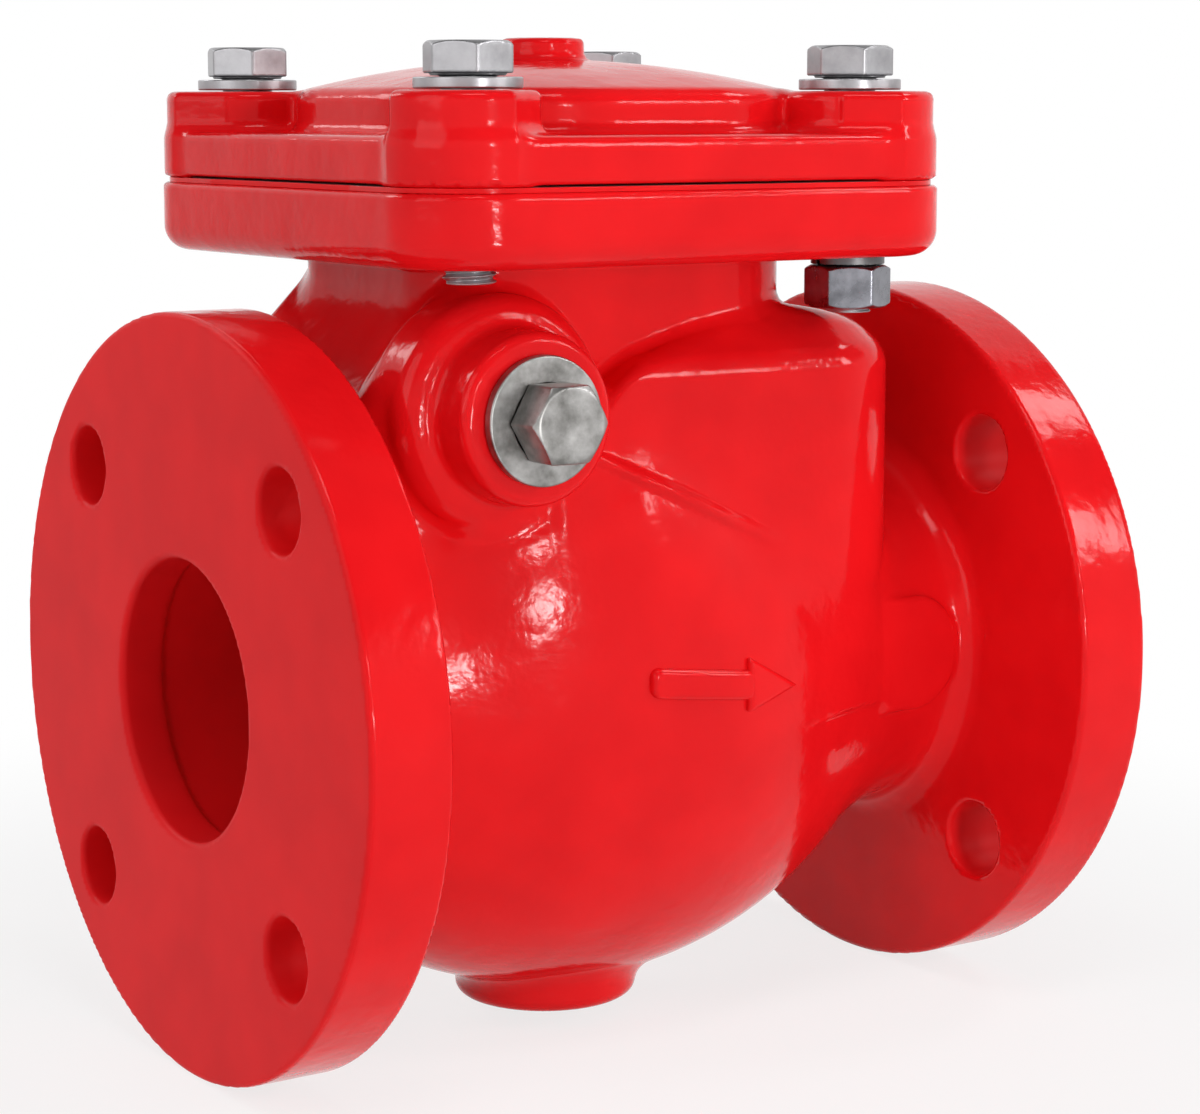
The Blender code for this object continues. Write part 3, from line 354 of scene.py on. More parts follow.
def ridge(x, z):
    """How far the casting's ridge stands up, in a line from the plug's boss down towards the outlet."""
    run = RIDGE_END[0] - RIDGE_START[0]
    fall = RIDGE_END[1] - RIDGE_START[1]
    share = ((x - RIDGE_START[0]) * run + (z - RIDGE_START[1]) * fall) / (run**2 + fall**2)
    share = np.clip(share, 0, 1)
    away = np.hypot(x - RIDGE_START[0] - share * run, z - RIDGE_START[1] - share * fall)
    close = 1 - np.clip(away / RIDGE_HALF, 0, 1) ** 2
    return RIDGE_HEIGHT * close * close * np.clip((1 - share) * run / RIDGE_FADE, 0, 1)


def round_boss(along, across, size, edge):
    radius, reach = size
    return bar(along, across, BOSS_FOOT, reach, radius, edge)


def casting(x, y, z):
    """The outside of the body."""
    pipe = np.hypot(y, z)
    form = union(
        bar(x, pipe, 0, FLANGE, RIM, 0.0012),
        bar(x, pipe, FACE_TO_FACE - FLANGE, FACE_TO_FACE, RIM, 0.0012),
    )
    form = union(form, bar(x, pipe, FLANGE / 2, FACE_TO_FACE - FLANGE / 2, HUB), 0.007)
    form = union(form, belly(x, y, z), 0.008)
    form = union(form, chamber(x, y, z, WALL, 0.0028), 0.003)
    stem = neck(x, y, z, WALL, 0.027, NECK_FOOT, NECK_TOP + 0.004, 0.004)
    form = union(form, stem, 0.0035)
    hinge = np.hypot(x - HINGE.x, z - HINGE.z)
    boss = union(
        round_boss(-y, hinge, PLUG_BOSS, 0.0055),
        round_boss(-y, hinge, PLUG_PAD, 0.0025),
        0.0025,
    )
    form = union(form, boss, 0.0035)
    form = union(form, round_boss(y, hinge, FAR_BOSS, 0.003), 0.004)
    outline = square_plan(x, y, BONNET_HALF, BONNET_CORNER)
    lower = common(outline, NECK_TOP - z, BONNET_ROUNDING)
    flange = common(lower, z - BONNET_TOP, 0.0012)
    form = union(form, flange, 0.0025)
    drain = np.hypot(x - NECK_X, y)
    form = union(form, bar(-z, drain, BELLY_DEPTH - WALL, DRAIN_LOW, DRAIN_RADIUS, 0.003), 0.004)
    pad = plan(x, z, *GAUGE_PAD, GAUGE_PAD_HALF, 0.0015, GAUGE_PAD_CORNER)
    form = union(form, common(pad, between(-y, BORE, GAUGE_PAD_FACE), 0.0015), 0.002)
    return form - ridge(x, z)


def hollow(x, y, z):
    """The water's way through the body, and up to the cover."""
    form = ellipsoid(x, y, z, BELLY_MIDDLE, BELLY_HALF_LENGTH - WALL, BELLY_HALF - WALL, BELLY_DEPTH - WALL)
    form = union(form, chamber(x, y, z, 0.0, 0.004), 0.004)
    room = ARM_HUB + HUB_ROOM
    form = union(form, neck(x, y, z, 0.0, HINGE.x - room, NECK_FOOT, BONNET_TOP + 0.01, 0.003), 0.003)
    behind = (x - SEAT.x) * FLOW.x + (z - SEAT.z) * FLOW.z + 0.002
    below = (x - SEAT.x) * DOWN.x + (z - SEAT.z) * DOWN.z + (SEAT - HINGE).dot(DOWN) - room
    form = less(form, common(behind, -below, 0.002), 0.003)
    return form


def cover_holes(x, y):
    return np.hypot(np.abs(x - NECK_X) - BOLT_PITCH / 2, np.abs(y) - BOLT_PITCH / 2) - COVER_HOLE


def valve_body(x, y, z):
    form = casting(x, y, z)
    form = less(form, hollow(x, y, z), 0.001)
    pipe = np.hypot(y, z)
    form = less(form, bar(x, pipe, -0.01, RELIEF_START, BORE), 0.0015)
    form = less(form, bar(x, pipe, RELIEF_START, SEAT.x, RELIEF, 0.0012), 0.0010)
    form = less(form, bar(x, pipe, BELLY_MIDDLE, FACE_TO_FACE + 0.01, BORE), 0.0015)
    along = (x - SEAT.x) * FLOW.x + (z - SEAT.z) * FLOW.z
    down = (x - SEAT.x) * DOWN.x + (z - SEAT.z) * DOWN.z
    form = less(form, bar(along, np.hypot(down, y), -SEAT_LENGTH - GAP, WALL / 2, SEAT_RADIUS + GAP), 0.0004)
    hinge = np.hypot(x - HINGE.x, z - HINGE.z)
    form = less(form, bar(y, hinge, *BUSH_HOLE_ENDS, BUSH_HOLE), 0.0004)
    form = less(form, bar(-y, hinge, PLUG_HOLE_START, PLUG_PAD[1] + WALL, PLUG_HOLE), 0.0004)
    hole = np.hypot(np.abs(y) - BOLT_OFFSET, np.abs(z) - BOLT_OFFSET) - BOLT_HOLE
    flanges = np.minimum(x, FACE_TO_FACE - x) - FLANGE - 0.004
    form = less(form, common(hole, flanges), 0.001)
    return less(form, common(cover_holes(x, y), NECK_TOP - 0.004 - z), 0.0004)


def bonnet_cover(x, y, z):
    across = x - NECK_X
    outline = square_plan(x, y, COVER_HALF, COVER_CORNER)
    form = common(common(outline, z - COVER_RIM_TOP, 0.002), COVER_LOW.z - z, 0.0012)
    inner = CROWN_HALF - CROWN_CORNER
    total = np.abs(across) + np.abs(y)
    square = across**2 + y**2
    bend = CROWN_CORNER**2 - 2 * inner**2
    rounded = (np.sqrt(inner**2 * total**2 + bend * square) - inner * total) / bend
    flat = np.maximum(np.abs(across), np.abs(y)) / CROWN_HALF
    share = np.where(np.minimum(np.abs(across), np.abs(y)) < inner * flat, flat, rounded)
    dome = z - COVER_TOP - CROWN_DOME * (1 - share**2)
    crown = common(square_plan(x, y, CROWN_HALF, CROWN_CORNER), dome, 0.003)
    crown = common(crown, COVER_LOW.z + 0.001 - z)
    form = union(form, crown, 0.003)
    outward = (np.abs(across) + np.abs(y) - BOLT_PITCH) / math.sqrt(2)
    aside = np.abs(np.abs(across) - np.abs(y)) / math.sqrt(2)
    tangent = math.radians(45) + math.acos(CORNER_BOSS / COVER_CORNER)
    wedge = common(outward * math.cos(tangent) + aside * math.sin(tangent) - CORNER_BOSS, -outward)
    boss = union(np.hypot(outward, aside) - CORNER_BOSS, common(wedge, outline))
    boss = common(common(boss, z - COVER_TOP, 0.002), COVER_LOW.z + 0.001 - z)
    form = union(form, boss, 0.003)
    knob = common(np.hypot(across, y) - KNOB, between(z, COVER_TOP, COVER_HIGH.z), 0.0015)
    form = union(form, knob, 0.002)
    room = plan(x, y, NECK_X - OPENING[0], NECK_X + OPENING[0], OPENING[1], OPENING_CORNER, OPENING_CORNER)
    form = less(form, common(room, z - COVER_TOP + COVER_ROOF, 0.006), 0.0008)
    return less(form, cover_holes(x, y), 0.0004)


# Meshes on those surfaces

def steepest(field, points, step):
    """The field's gradient at each point."""
    total = np.zeros_like(points)
    for corner in ((1, -1, -1), (-1, -1, 1), (-1, 1, -1), (1, 1, 1)):
        corner = np.array(corner, float)
        shifted = points + step * corner
        total += field(shifted[:, 0], shifted[:, 1], shifted[:, 2])[:, None] * corner
    return total / (4 * step)


def sampled(field, low, cell, blocks):
    """The field on a grid of blocks of four cells, worked out in full only near the surface."""
    centres = [low[i] + cell * (4 * np.arange(blocks[i]) + 2) for i in range(3)]
    x, y, z = np.meshgrid(*centres, indexing="ij")
    coarse = field(x.ravel(), y.ravel(), z.ravel()).reshape(blocks)
    near = np.abs(coarse) < 6 * cell
    values = coarse
    for axis in range(3):
        values = np.repeat(values, 4, axis)
        values = np.concatenate([values, np.take(values, [-1], axis)], axis)
        near = np.repeat(near, 4, axis)
        edge = np.zeros_like(np.take(near, [0], axis))
        near = np.concatenate([near, edge], axis) | np.concatenate([edge, near], axis)
    nodes = np.argwhere(near)
    points = low + cell * nodes
    values[near] = field(points[:, 0], points[:, 1], points[:, 2])
    return values


def net(values):
    """Points and quads on the surface between the samples, with one point in each cell that it crosses."""
    inside = values < 0
    count = np.zeros(np.array(values.shape) - 1, np.uint8)
    corners = [(i, j, k) for i in (0, 1) for j in (0, 1) for k in (0, 1)]
    for i, j, k in corners:
        count += inside[i:i + count.shape[0], j:j + count.shape[1], k:k + count.shape[2]]
    crossed = (count > 0) & (count < 8)
    cells = np.argwhere(crossed)
    number = np.full(count.shape, -1, np.int64)
    number[crossed] = np.arange(len(cells))
    total = np.zeros((len(cells), 3))
    found = np.zeros(len(cells))
    for corner in corners:
        for axis in range(3):
            if corner[axis]:
                continue
            start = np.array(corner)
            step = np.eye(3, dtype=int)[axis]
            a = values[tuple((cells + start).T)]
            b = values[tuple((cells + start + step).T)]
            cut = (a < 0) != (b < 0)
            share = np.where(cut, a / np.where(cut, a - b, 1), 0)
            total += np.where(cut[:, None], start + share[:, None] * step, 0)
            found += cut
    points = cells + total / found[:, None]
    quads = []
    for axis in range(3):
        second, third = (axis + 1) % 3, (axis + 2) % 3
        size = list(values.shape)
        size[axis] -= 1
        low = inside[tuple(slice(0, size[i]) for i in range(3))]
        high = inside[tuple(slice(int(i == axis), None) for i in range(3))]
        edges = np.argwhere(low != high)
        keep = np.ones(len(edges), bool)
        for other in (second, third):
            keep &= (edges[:, other] > 0) & (edges[:, other] < values.shape[other] - 1)
        edges = edges[keep]
        outwards = inside[tuple(edges.T)]
        back = np.eye(3, dtype=int)
        ring = [edges - back[second] - back[third], edges - back[third], edges, edges - back[second]]
        quad = np.stack([number[tuple(corner.T)] for corner in ring], 1)
        quads.append(np.where(outwards[:, None], quad, quad[:, ::-1]))
    return points, np.concatenate(quads)


def skin(name, field, low, high, cell):
    """A mesh on the surface of a field, with the field's own normals."""
    low = np.array(low) - 2.3 * cell
    blocks = np.ceil((np.array(high) + 2.3 * cell - low) / (4 * cell)).astype(int)
    points, quads = net(sampled(field, low, cell, blocks))
    points = low + cell * points
    for turn in range(4):
        if turn in (1, 2):
            centres = points[quads].mean(1)
            total = np.zeros_like(points)
            found = np.zeros(len(points))
            for corner in range(4):
                np.add.at(total, quads[:, corner], centres)
                np.add.at(found, quads[:, corner], 1)
            points = total / np.maximum(found, 1)[:, None]
        gradient = steepest(field, points, 0.1 * cell)
        length = np.maximum((gradient**2).sum(1), 0.05)
        step = field(points[:, 0], points[:, 1], points[:, 2]) / length
        points = points - np.clip(step, -cell, cell)[:, None] * gradient
    normals = steepest(field, points, 0.15 * cell)
    normals /= np.maximum(np.linalg.norm(normals, axis=1), 1e-9)[:, None]
    mesh = bpy.data.meshes.new(name)
    mesh.vertices.add(len(points))
    mesh.vertices.foreach_set("co", points.astype(np.float32).ravel())
    mesh.loops.add(quads.size)
    mesh.loops.foreach_set("vertex_index", quads.astype(np.int32).ravel())
    mesh.polygons.add(len(quads))
    mesh.polygons.foreach_set("loop_start", np.arange(0, quads.size, 4, dtype=np.int32))
    mesh.update(calc_edges=True)
    mesh.shade_smooth()
    mesh.normals_split_custom_set_from_vertices(normals.astype(np.float32))
    return mesh


def turned(name, profile, rounding):
    """A smooth piece turned about its own Z from (radius, height) points, with its corners rounded."""
    outline = []
    for i, (radius, height) in enumerate(profile):
        corner = Vector((radius, height))
        before = Vector(profile[i - 1]) - corner
        after = Vector(profile[(i + 1) % len(profile)]) - corner
        reach = 0.0 if radius == 0 else min(rounding, 0.45 * before.length, 0.45 * after.length)
        start = corner + reach * before.normalized()
        end = corner + reach * after.normalized()
        steps = 4 if reach else 0
        for step in range(steps + 1):
            share = step / max(steps, 1)
            outline.append(start.lerp(corner, share).lerp(corner.lerp(end, share), share))
    angles = [2 * math.pi * side / TURN_SIDES for side in range(TURN_SIDES)]
    around = [(math.cos(angle), math.sin(angle)) for angle in angles]
    form = bmesh.new()
    rings = []
    for point in outline:
        if point.x == 0:
            rings.append([form.verts.new((0, 0, point.y))] * TURN_SIDES)
            continue
        rings.append([form.verts.new((point.x * x, point.x * y, point.y)) for x, y in around])
    for i, ring in enumerate(rings):
        other = rings[(i + 1) % len(rings)]
        for side in range(TURN_SIDES):
            after = (side + 1) % TURN_SIDES
            corners = [ring[side], ring[after], other[after], other[side]]
            corners = [vert for j, vert in enumerate(corners) if vert not in corners[:j]]
            if len(corners) > 2:
                form.faces.new(corners)
    bmesh.ops.recalc_face_normals(form, faces=form.faces)
    mesh = bpy.data.meshes.new(name)
    form.to_mesh(mesh)
    form.free()
    mesh.shade_smooth()
    return mesh


def turned_ring(name, size, rounding):
    outer, inner, low, high = size
    return turned(name, [(outer, low), (outer, high), (inner, high), (inner, low)], rounding)


def sheet(name, outlines, thickness):
    """A flat sheet cut to closed outlines, the first its edge and the others holes."""
    curve = bpy.data.curves.new(name, "CURVE")
    curve.dimensions = "2D"
    curve.fill_mode = "BOTH"
    curve.extrude = 0.4 * thickness
    curve.bevel_depth = 0.1 * thickness
    for points in outlines:
        spline = curve.splines.new("POLY")
        spline.use_cyclic_u = True
        spline.points.add(len(points) - 1)
        for point, (x, y) in zip(spline.points, points):
            point.co = (x, y, 0, 1)
    obj = bpy.data.objects.new(name, curve)
    bpy.context.scene.collection.objects.link(obj)
    mesh = bpy.data.meshes.new_from_object(obj.evaluated_get(bpy.context.evaluated_depsgraph_get()))
    bpy.data.objects.remove(obj)
    bpy.data.curves.remove(curve)
    return mesh


def rounded_outline(half_x, half_y, corner):
    """Points round a rectangle with round corners, about the bonnet's middle."""
    points = []
    for start, across, up in ((0, 1, 1), (90, -1, 1), (180, -1, -1), (270, 1, -1)):
        for step in range(13):
            angle = math.radians(start + 7.5 * step)
            x = across * (half_x - corner) + corner * math.cos(angle)
            y = up * (half_y - corner) + corner * math.sin(angle)
            points.append((NECK_X + x, y))
    return points


def circle_outline(x, y, radius):
    angles = [2 * math.pi * side / 48 for side in range(48)]
    return [(x + radius * math.cos(angle), y + radius * math.sin(angle)) for angle in angles]


# Fields of the small parts, each on its own Z axis

def hexagon(x, y, z, width, low, high, turn, both_ends=False):
    """A hexagonal bar with a corner at turn, and the corners of its end faces turned off."""
    form = between(z, low, high)
    for side in range(3):
        angle = turn + math.radians(30 + 60 * side)
        slab = np.abs(x * math.cos(angle) + y * math.sin(angle)) - width / 2
        form = common(form, slab, HEX_EDGE)
    beyond = np.hypot(x, y) - HEX_CHAMFER * width
    cone = slope(-HEX_SLOPE, 1, z - high, beyond)
    if both_ends:
        cone = np.maximum(cone, slope(-HEX_SLOPE, 1, low - z, beyond))
    return common(form, cone, HEX_EDGE / 2)


def threaded(x, y, z, radius, low, high, thread_end, pitch=THREAD_PITCH):
    """A round bar with a right-handed thread from its tip up to thread_end."""
    phase = z / pitch - np.arctan2(y, x) / (2 * math.pi)
    groove = np.clip(1.2 * np.abs(2 * np.mod(phase, 1) - 1) - 0.1, 0, 1)
    depth = 0.61 * pitch * groove * np.clip((thread_end - z) / pitch, 0, 1)
    form = (np.hypot(x, y) - radius + depth) / 1.6
    return common(form, between(z, low, high), 0.0007)


def screw(length, thread_end):
    """The field of a hexagon-headed cover screw, in its own place along Z."""
    tip = HEAD_SEAT - length

    def field(x, y, z):
        shank = threaded(x, y, z, FASTENER, tip, HEAD_SEAT + HEAD_HEIGHT / 2, thread_end)
        collar = bar(z, np.hypot(x, y), HEAD_SEAT, HEAD_SEAT + HEAD_HEIGHT / 2, 0.46 * HEAD_WIDTH, 0.0002)
        head = hexagon(x, y, z, HEAD_WIDTH, HEAD_SEAT + 0.0005, HEAD_SEAT + HEAD_HEIGHT, HEAD_TURN)
        return union(union(shank, collar), head, 0.0003)

    return field


def cover_nut(x, y, z):
    form = hexagon(x, y, z, HEAD_WIDTH, NUT_TOP - NUT_HEIGHT, NUT_TOP, NUT_TURN, True)
    away = np.abs(z - NUT_TOP + NUT_HEIGHT / 2) / NUT_HEIGHT
    bore = FASTENER + GAP + NUT_COUNTERSINK * np.clip(away * 8 - 3.2, 0, 1)
    return common(form, bore - np.hypot(x, y))


def lock_washer(x, y, z):
    """A spring washer, split by a slanting cut."""
    across = np.hypot(x, y)
    ring = common(bar(z, across, LOCK_LOW, LOCK_HIGH, LOCK_WASHER), COVER_HOLE - across, 0.00015)
    cut = (np.abs(y - 0.4 * (z - LOCK_LOW)) - 0.0006) / math.hypot(1, 0.4)
    return less(ring, common(cut, x), 0.0001)


def pin_plug(x, y, z):
    low = PLUG_PAD[1] + PLUG_WASHER_THICKNESS + 2 * GAP
    shank = threaded(x, y, z, PLUG_THREAD, PLUG_TIP, low + PLUG_HEAD_HEIGHT / 2, low - 0.004, PLUG_PITCH)
    return union(shank, hexagon(x, y, z, PLUG_WIDTH, low, low + PLUG_HEAD_HEIGHT, 0.0), 0.0004)


def disc_stud(x, y, z):
    across = np.hypot(x, y)
    shank = threaded(-x, y, -z, STUD, -STUD_TIP, 0.004, -NUT_LOW + 0.002)
    head = bar(z, across, HEAD_FACE - STUD_HEAD[1], HEAD_FACE, STUD_HEAD[0], 0.0012)
    form = union(shank, head, 0.0003)
    hole = np.hypot(z - COTTER_HEIGHT, y) - COTTER_HOLE
    return less(form, hole, 0.0002)


def stud_nut(x, y, z):
    form = hexagon(x, y, z, HEAD_WIDTH, NUT_LOW, NUT_HIGH, 0.0, True)
    return common(form, STUD + GAP - np.hypot(x, y), 0.0003)


def clapper_arm(x, y, z):
    """The cast arm: x down from the hinge pin, z the way the water flows."""
    hub = bar(y, np.hypot(x, z), -ARM_HALF, ARM_HALF, ARM_HUB, 0.001)
    eye = bar(z, np.hypot(x - DISC_BELOW, y), ARM_EYE[1], ARM_EYE[2], ARM_EYE[0], 0.001)
    share = smooth(x / ARM_WAIST[0])
    half = ARM_WAIST[1] + (ARM_SHOULDER - ARM_WAIST[1]) * (1 - share)
    middle = ARM_EYE[2] - ARM_THICKNESS / 2 - 0.001 - ARM_CRANK * (1 - share)
    web = common(np.abs(y) - half, np.abs(z - middle) - ARM_THICKNESS / 2, 0.002)
    web = common(web, between(x, 0.002, DISC_BELOW - ARM_EYE[0] / 2))
    rib_top = middle + ARM_THICKNESS / 2 + ARM_RIB_HEIGHT * np.clip(
        np.minimum(x / ARM_RIB_START, (RIB_END - x) / ARM_RIB_HEIGHT), 0, 1)
    rib = common(np.abs(y) - ARM_RIB_HALF, z - rib_top, 0.0015)
    rib = common(rib, np.maximum(middle - z, between(x, 0.001, RIB_END)))
    form = union(union(hub, web, 0.003), eye, 0.002)
    form = union(form, rib, 0.0015)
    form = less(form, np.hypot(x, z) - PIN - GAP, 0.0004)
    return less(form, np.hypot(x - DISC_BELOW, y) - STUD - GAP, 0.0004)


# Pieces

def stand(name, mesh, material, body, node, place=None):
    """Puts a piece in its place for a CAD node, which it moves with and stands for."""
    if not mesh.materials:
        mesh.materials.append(material)
    obj = bpy.data.objects.new(name, mesh)
    bpy.context.scene.collection.objects.link(obj)
    if place is not None:
        obj.matrix_world = place
    if len(mesh.polygons) < 40000 and not mesh.has_custom_normals:
        weigh = obj.modifiers.new("Even shading", "WEIGHTED_NORMAL")
        weigh.weight = 90
    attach(obj, body)
    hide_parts(node)


# Materials

def add(tree, kind, inputs=None, **settings):
    """A shader node with its settings, and its inputs linked or set."""
    node = tree.nodes.new("ShaderNode" + kind)
    for name, value in settings.items():
        setattr(node, name, value)
    for name, value in (inputs or {}).items():
        if isinstance(value, bpy.types.NodeSocket):
            tree.links.new(value, node.inputs[name])
        else:
            node.inputs[name].default_value = value
    return node


def number_math(tree, operation, a, b):
    return add(tree, "Math", {0: a, 1: b}, operation=operation).outputs[0]


def vector_math(tree, operation, a, b=(0, 0, 0), output="Vector"):
    return add(tree, "VectorMath", {0: a, 1: b}, operation=operation).outputs[output]


def mapped(tree, value, source, target, kind="LINEAR"):
    """A value moved from one range to another."""
    ends = {"From Min": source[0], "From Max": source[1], "To Min": target[0], "To Max": target[1]}
    return add(tree, "MapRange", {"Value": value, **ends}, interpolation_type=kind).outputs["Result"]


def new_material(name, **shader_values):
    material = bpy.data.materials.new(name)
    material.use_nodes = True
    tree = material.node_tree
    shader = tree.nodes["Principled BSDF"]
    for label, value in shader_values.items():
        shader.inputs[label.replace("_", " ")].default_value = value
    place = add(tree, "TexCoord").outputs["Object"]
    return material, tree, shader, place


def noise(tree, place, scale, detail=2.0, roughness=0.5):
    values = {"Vector": place, "Scale": scale, "Detail": detail, "Roughness": roughness}
    return add(tree, "TexNoise", values).outputs["Fac"]


def ramp(tree, value, stops):
    """A colour for each height of value."""
    node = add(tree, "ValToRGB", {"Fac": value})
    steps = node.color_ramp.elements
    steps[0].position, steps[1].position = stops[0][0], stops[-1][0]
    steps[0].color, steps[1].color = (*stops[0][1], 1), (*stops[-1][1], 1)
    for position, colour in stops[1:-1]:
        steps.new(position).color = (*colour, 1)
    return node.outputs["Color"]


def spread(tree, value, low, high):
    return mapped(tree, value, (0.3, 0.7), (low, high))


def bump(tree, height, distance, under=None, strength=1.0):
    values = {"Height": height, "Distance": distance, "Strength": strength}
    if under is not None:
        values["Normal"] = under
    return add(tree, "Bump", values).outputs["Normal"]


def feed(tree, shader, colour, roughness, normal):
    tree.links.new(colour, shader.inputs["Base Color"])
    tree.links.new(roughness, shader.inputs["Roughness"])
    tree.links.new(normal, shader.inputs["Normal"])


def inside(tree, across, middle, radius):
    """1 within a radius of a point, for places seen along the pipe, and 0 further out."""
    away = vector_math(tree, "DISTANCE", across, middle, "Value")
    return number_math(tree, "LESS_THAN", away, radius)


def seen_rays(tree):
    """1 for the rays that show a surface or its reflection, and 0 for the light that falls on others."""
    rays = add(tree, "LightPath").outputs
    seen = number_math(tree, "MAXIMUM", rays["Is Camera Ray"], rays["Is Glossy Ray"])
    return number_math(tree, "MAXIMUM", seen, rays["Is Transmission Ray"])


def red_coating():
    """Gloss epoxy on a casting: orange peel, and the slow waves of the sand mould under it."""
    material, tree, shader, place = new_material("red_epoxy_coating", Specular_IOR_Level=0.13)
    slow = noise(tree, place, 40, 2)
    waves = noise(tree, place, 150, 2)
    peel = noise(tree, place, 420, 2)
    colour = ramp(tree, slow, ((0.35, (0.74, 0.006, 0.009)), (0.65, (0.82, 0.008, 0.011))))
    end = FACE_TO_FACE / 2
    from_middle = vector_math(tree, "ABSOLUTE", vector_math(tree, "SUBTRACT", place, (end, 0, 0)))
    ends = add(tree, "SeparateXYZ", {"Vector": from_middle}).outputs
    face = mapped(tree, ends["X"], (end - 0.0012, end - 0.0002), (0, 1), "SMOOTHSTEP")
    across = add(tree, "CombineXYZ", {"X": ends["Y"], "Y": ends["Z"]}).outputs["Vector"]
    hole = inside(tree, across, (BOLT_OFFSET, BOLT_OFFSET, 0), BOLT_HOLE + 0.0002)
    flange = number_math(tree, "GREATER_THAN", ends["X"], end - FLANGE - 0.0015)
    drilled = number_math(tree, "MULTIPLY", hole, flange)
    bored = inside(tree, across, (0, 0, 0), RELIEF + 0.0002)
    made = number_math(tree, "MAXIMUM", number_math(tree, "MAXIMUM", face, drilled), bored)
    rough = mapped(tree, made, (0, 1), (1.0, 0.12))
    normal = bump(tree, slow, 0.0005, strength=rough)
    normal = bump(tree, waves, 0.00016, normal, rough)
    normal = bump(tree, peel, 0.00006, normal, rough)
    sheen = mapped(tree, made, (0, 1), (spread(tree, waves, 0.10, 0.15), 0.5))
    feed(tree, shader, colour, sheen, normal)
    return material


def turned_steel(name, dark, light, roughness, marks=None, metallic=1.0):
    """Machined or plated steel. Marks, where given, are the lathe's rings about the piece's own axis."""
    material, tree, shader, place = new_material(name, Metallic=metallic)
    cloud = noise(tree, place, 160, 4, 0.6)
    grain = noise(tree, place, 2600, 2)
    colour = ramp(tree, cloud, ((0.3, dark), (0.7, light)))
    normal = bump(tree, grain, 0.00001)
    if marks:
        apart = add(tree, "SeparateXYZ", {"Vector": place})
        level = add(tree, "CombineXYZ", {"X": apart.outputs["X"], "Y": apart.outputs["Y"]})
        across = vector_math(tree, "LENGTH", level.outputs["Vector"], output="Value")
        ring = add(tree, "CombineXYZ", {"X": across, "Z": apart.outputs["Z"]}).outputs["Vector"]
        normal = bump(tree, noise(tree, ring, marks, 3), 0.00002, normal)
    feed(tree, shader, colour, spread(tree, cloud, roughness - 0.06, roughness + 0.08), normal)
    return material


def bronze(name, cast):
    """Bronze with a thin brown tarnish, grainy where it is cast and finer grained where it is turned."""
    material, tree, shader, place = new_material(name, Metallic=1.0)
    cloud = noise(tree, place, 90, 4, 0.6)
    stops = ((0.3, (0.36, 0.20, 0.085)), (0.6, (0.56, 0.34, 0.15)), (0.8, (0.62, 0.41, 0.20)))
    colour = ramp(tree, cloud, stops)
    grain = noise(tree, place, 900 if cast else 2400, 4)
    normal = bump(tree, grain, 0.00020 if cast else 0.00002)
    low = 0.42 if cast else 0.28
    feed(tree, shader, colour, spread(tree, cloud, low + 0.12, low), normal)
    return material


def soft_black(name, dark, light, roughness, scale):
    """Rubber or pressed fibre: a fine grain and a dusty bloom."""
    material, tree, shader, place = new_material(name)
    cloud = noise(tree, place, 70, 3)
    colour = ramp(tree, cloud, ((0.3, dark), (0.7, light)))
    normal = bump(tree, noise(tree, place, scale, 3), 0.00005)
    feed(tree, shader, colour, spread(tree, cloud, roughness - 0.08, roughness + 0.08), normal)
    return material


RED = red_coating()
ZINC = turned_steel("dull_zinc_plate", (0.29, 0.285, 0.295), (0.43, 0.425, 0.44), 0.34, metallic=0.85)
BRIGHT = turned_steel("turned_stainless_steel", (0.17, 0.165, 0.155), (0.42, 0.41, 0.40), 0.38, 1400)
NUT_STEEL = turned_steel("plain_steel_nut", (0.15, 0.15, 0.165), (0.29, 0.29, 0.32), 0.28)
GROUND = turned_steel("ground_stainless_steel", (0.48, 0.48, 0.49), (0.60, 0.60, 0.61), 0.22, 2600)
DARK_STEEL = turned_steel("dark_spring_steel", (0.10, 0.10, 0.105), (0.18, 0.18, 0.18), 0.42)
CAST_BRONZE = bronze("cast_bronze", True)
TURNED_BRONZE = bronze("turned_bronze", False)
RUBBER = soft_black("black_rubber", (0.010, 0.010, 0.011), (0.030, 0.030, 0.030), 0.55, 1500)
FIBRE = soft_black("pressed_fibre_sheet", (0.020, 0.022, 0.022), (0.055, 0.058, 0.056), 0.80, 2200)

# The two castings and the sheet between them
body_skin = skin("body_casting", valve_body, BODY_LOW, BODY_HIGH, CAST_CELL)
stand("body_casting", body_skin, RED, "valve", "valve_body")
cover_skin = skin("cover_casting", bonnet_cover, COVER_LOW, COVER_HIGH, CAST_CELL)
stand("cover_casting", cover_skin, RED, "valve", "bonnet_cover")
arrow_low = (ARROW_SHAFT[0], -BELLY_HALF - ARROW_PROUD, ARROW_HEIGHT - ARROW_HEAD_HALF - 0.006)
arrow_high = (ARROW_TIP, -0.05, ARROW_HEIGHT + ARROW_HEAD_HALF + 0.001)
arrow = skin("raised_flow_arrow", flow_arrow, arrow_low, arrow_high, SMALL_CELL)
stand("raised_flow_arrow", arrow, RED, "valve", "valve_body")
gasket_low, gasket_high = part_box("bonnet_gasket")
gasket_half = (gasket_high.y - gasket_low.y) / 2
holes = [circle_outline(x, y, COVER_HOLE) for x, y in BOLT_CORNERS.values()]
opening = rounded_outline(OPENING[0] + GASKET_INSET, OPENING[1] + GASKET_INSET, OPENING_CORNER)
gasket_edge = rounded_outline(gasket_half, gasket_half, COVER_CORNER - GASKET_INSET)
gasket = sheet("gasket_sheet", [gasket_edge, opening] + holes, gasket_high.z - gasket_low.z)
gasket_place = Matrix.Translation((0, 0, (gasket_low.z + gasket_high.z) / 2))
stand("gasket_sheet", gasket, FIBRE, "valve", "bonnet_gasket", gasket_place)
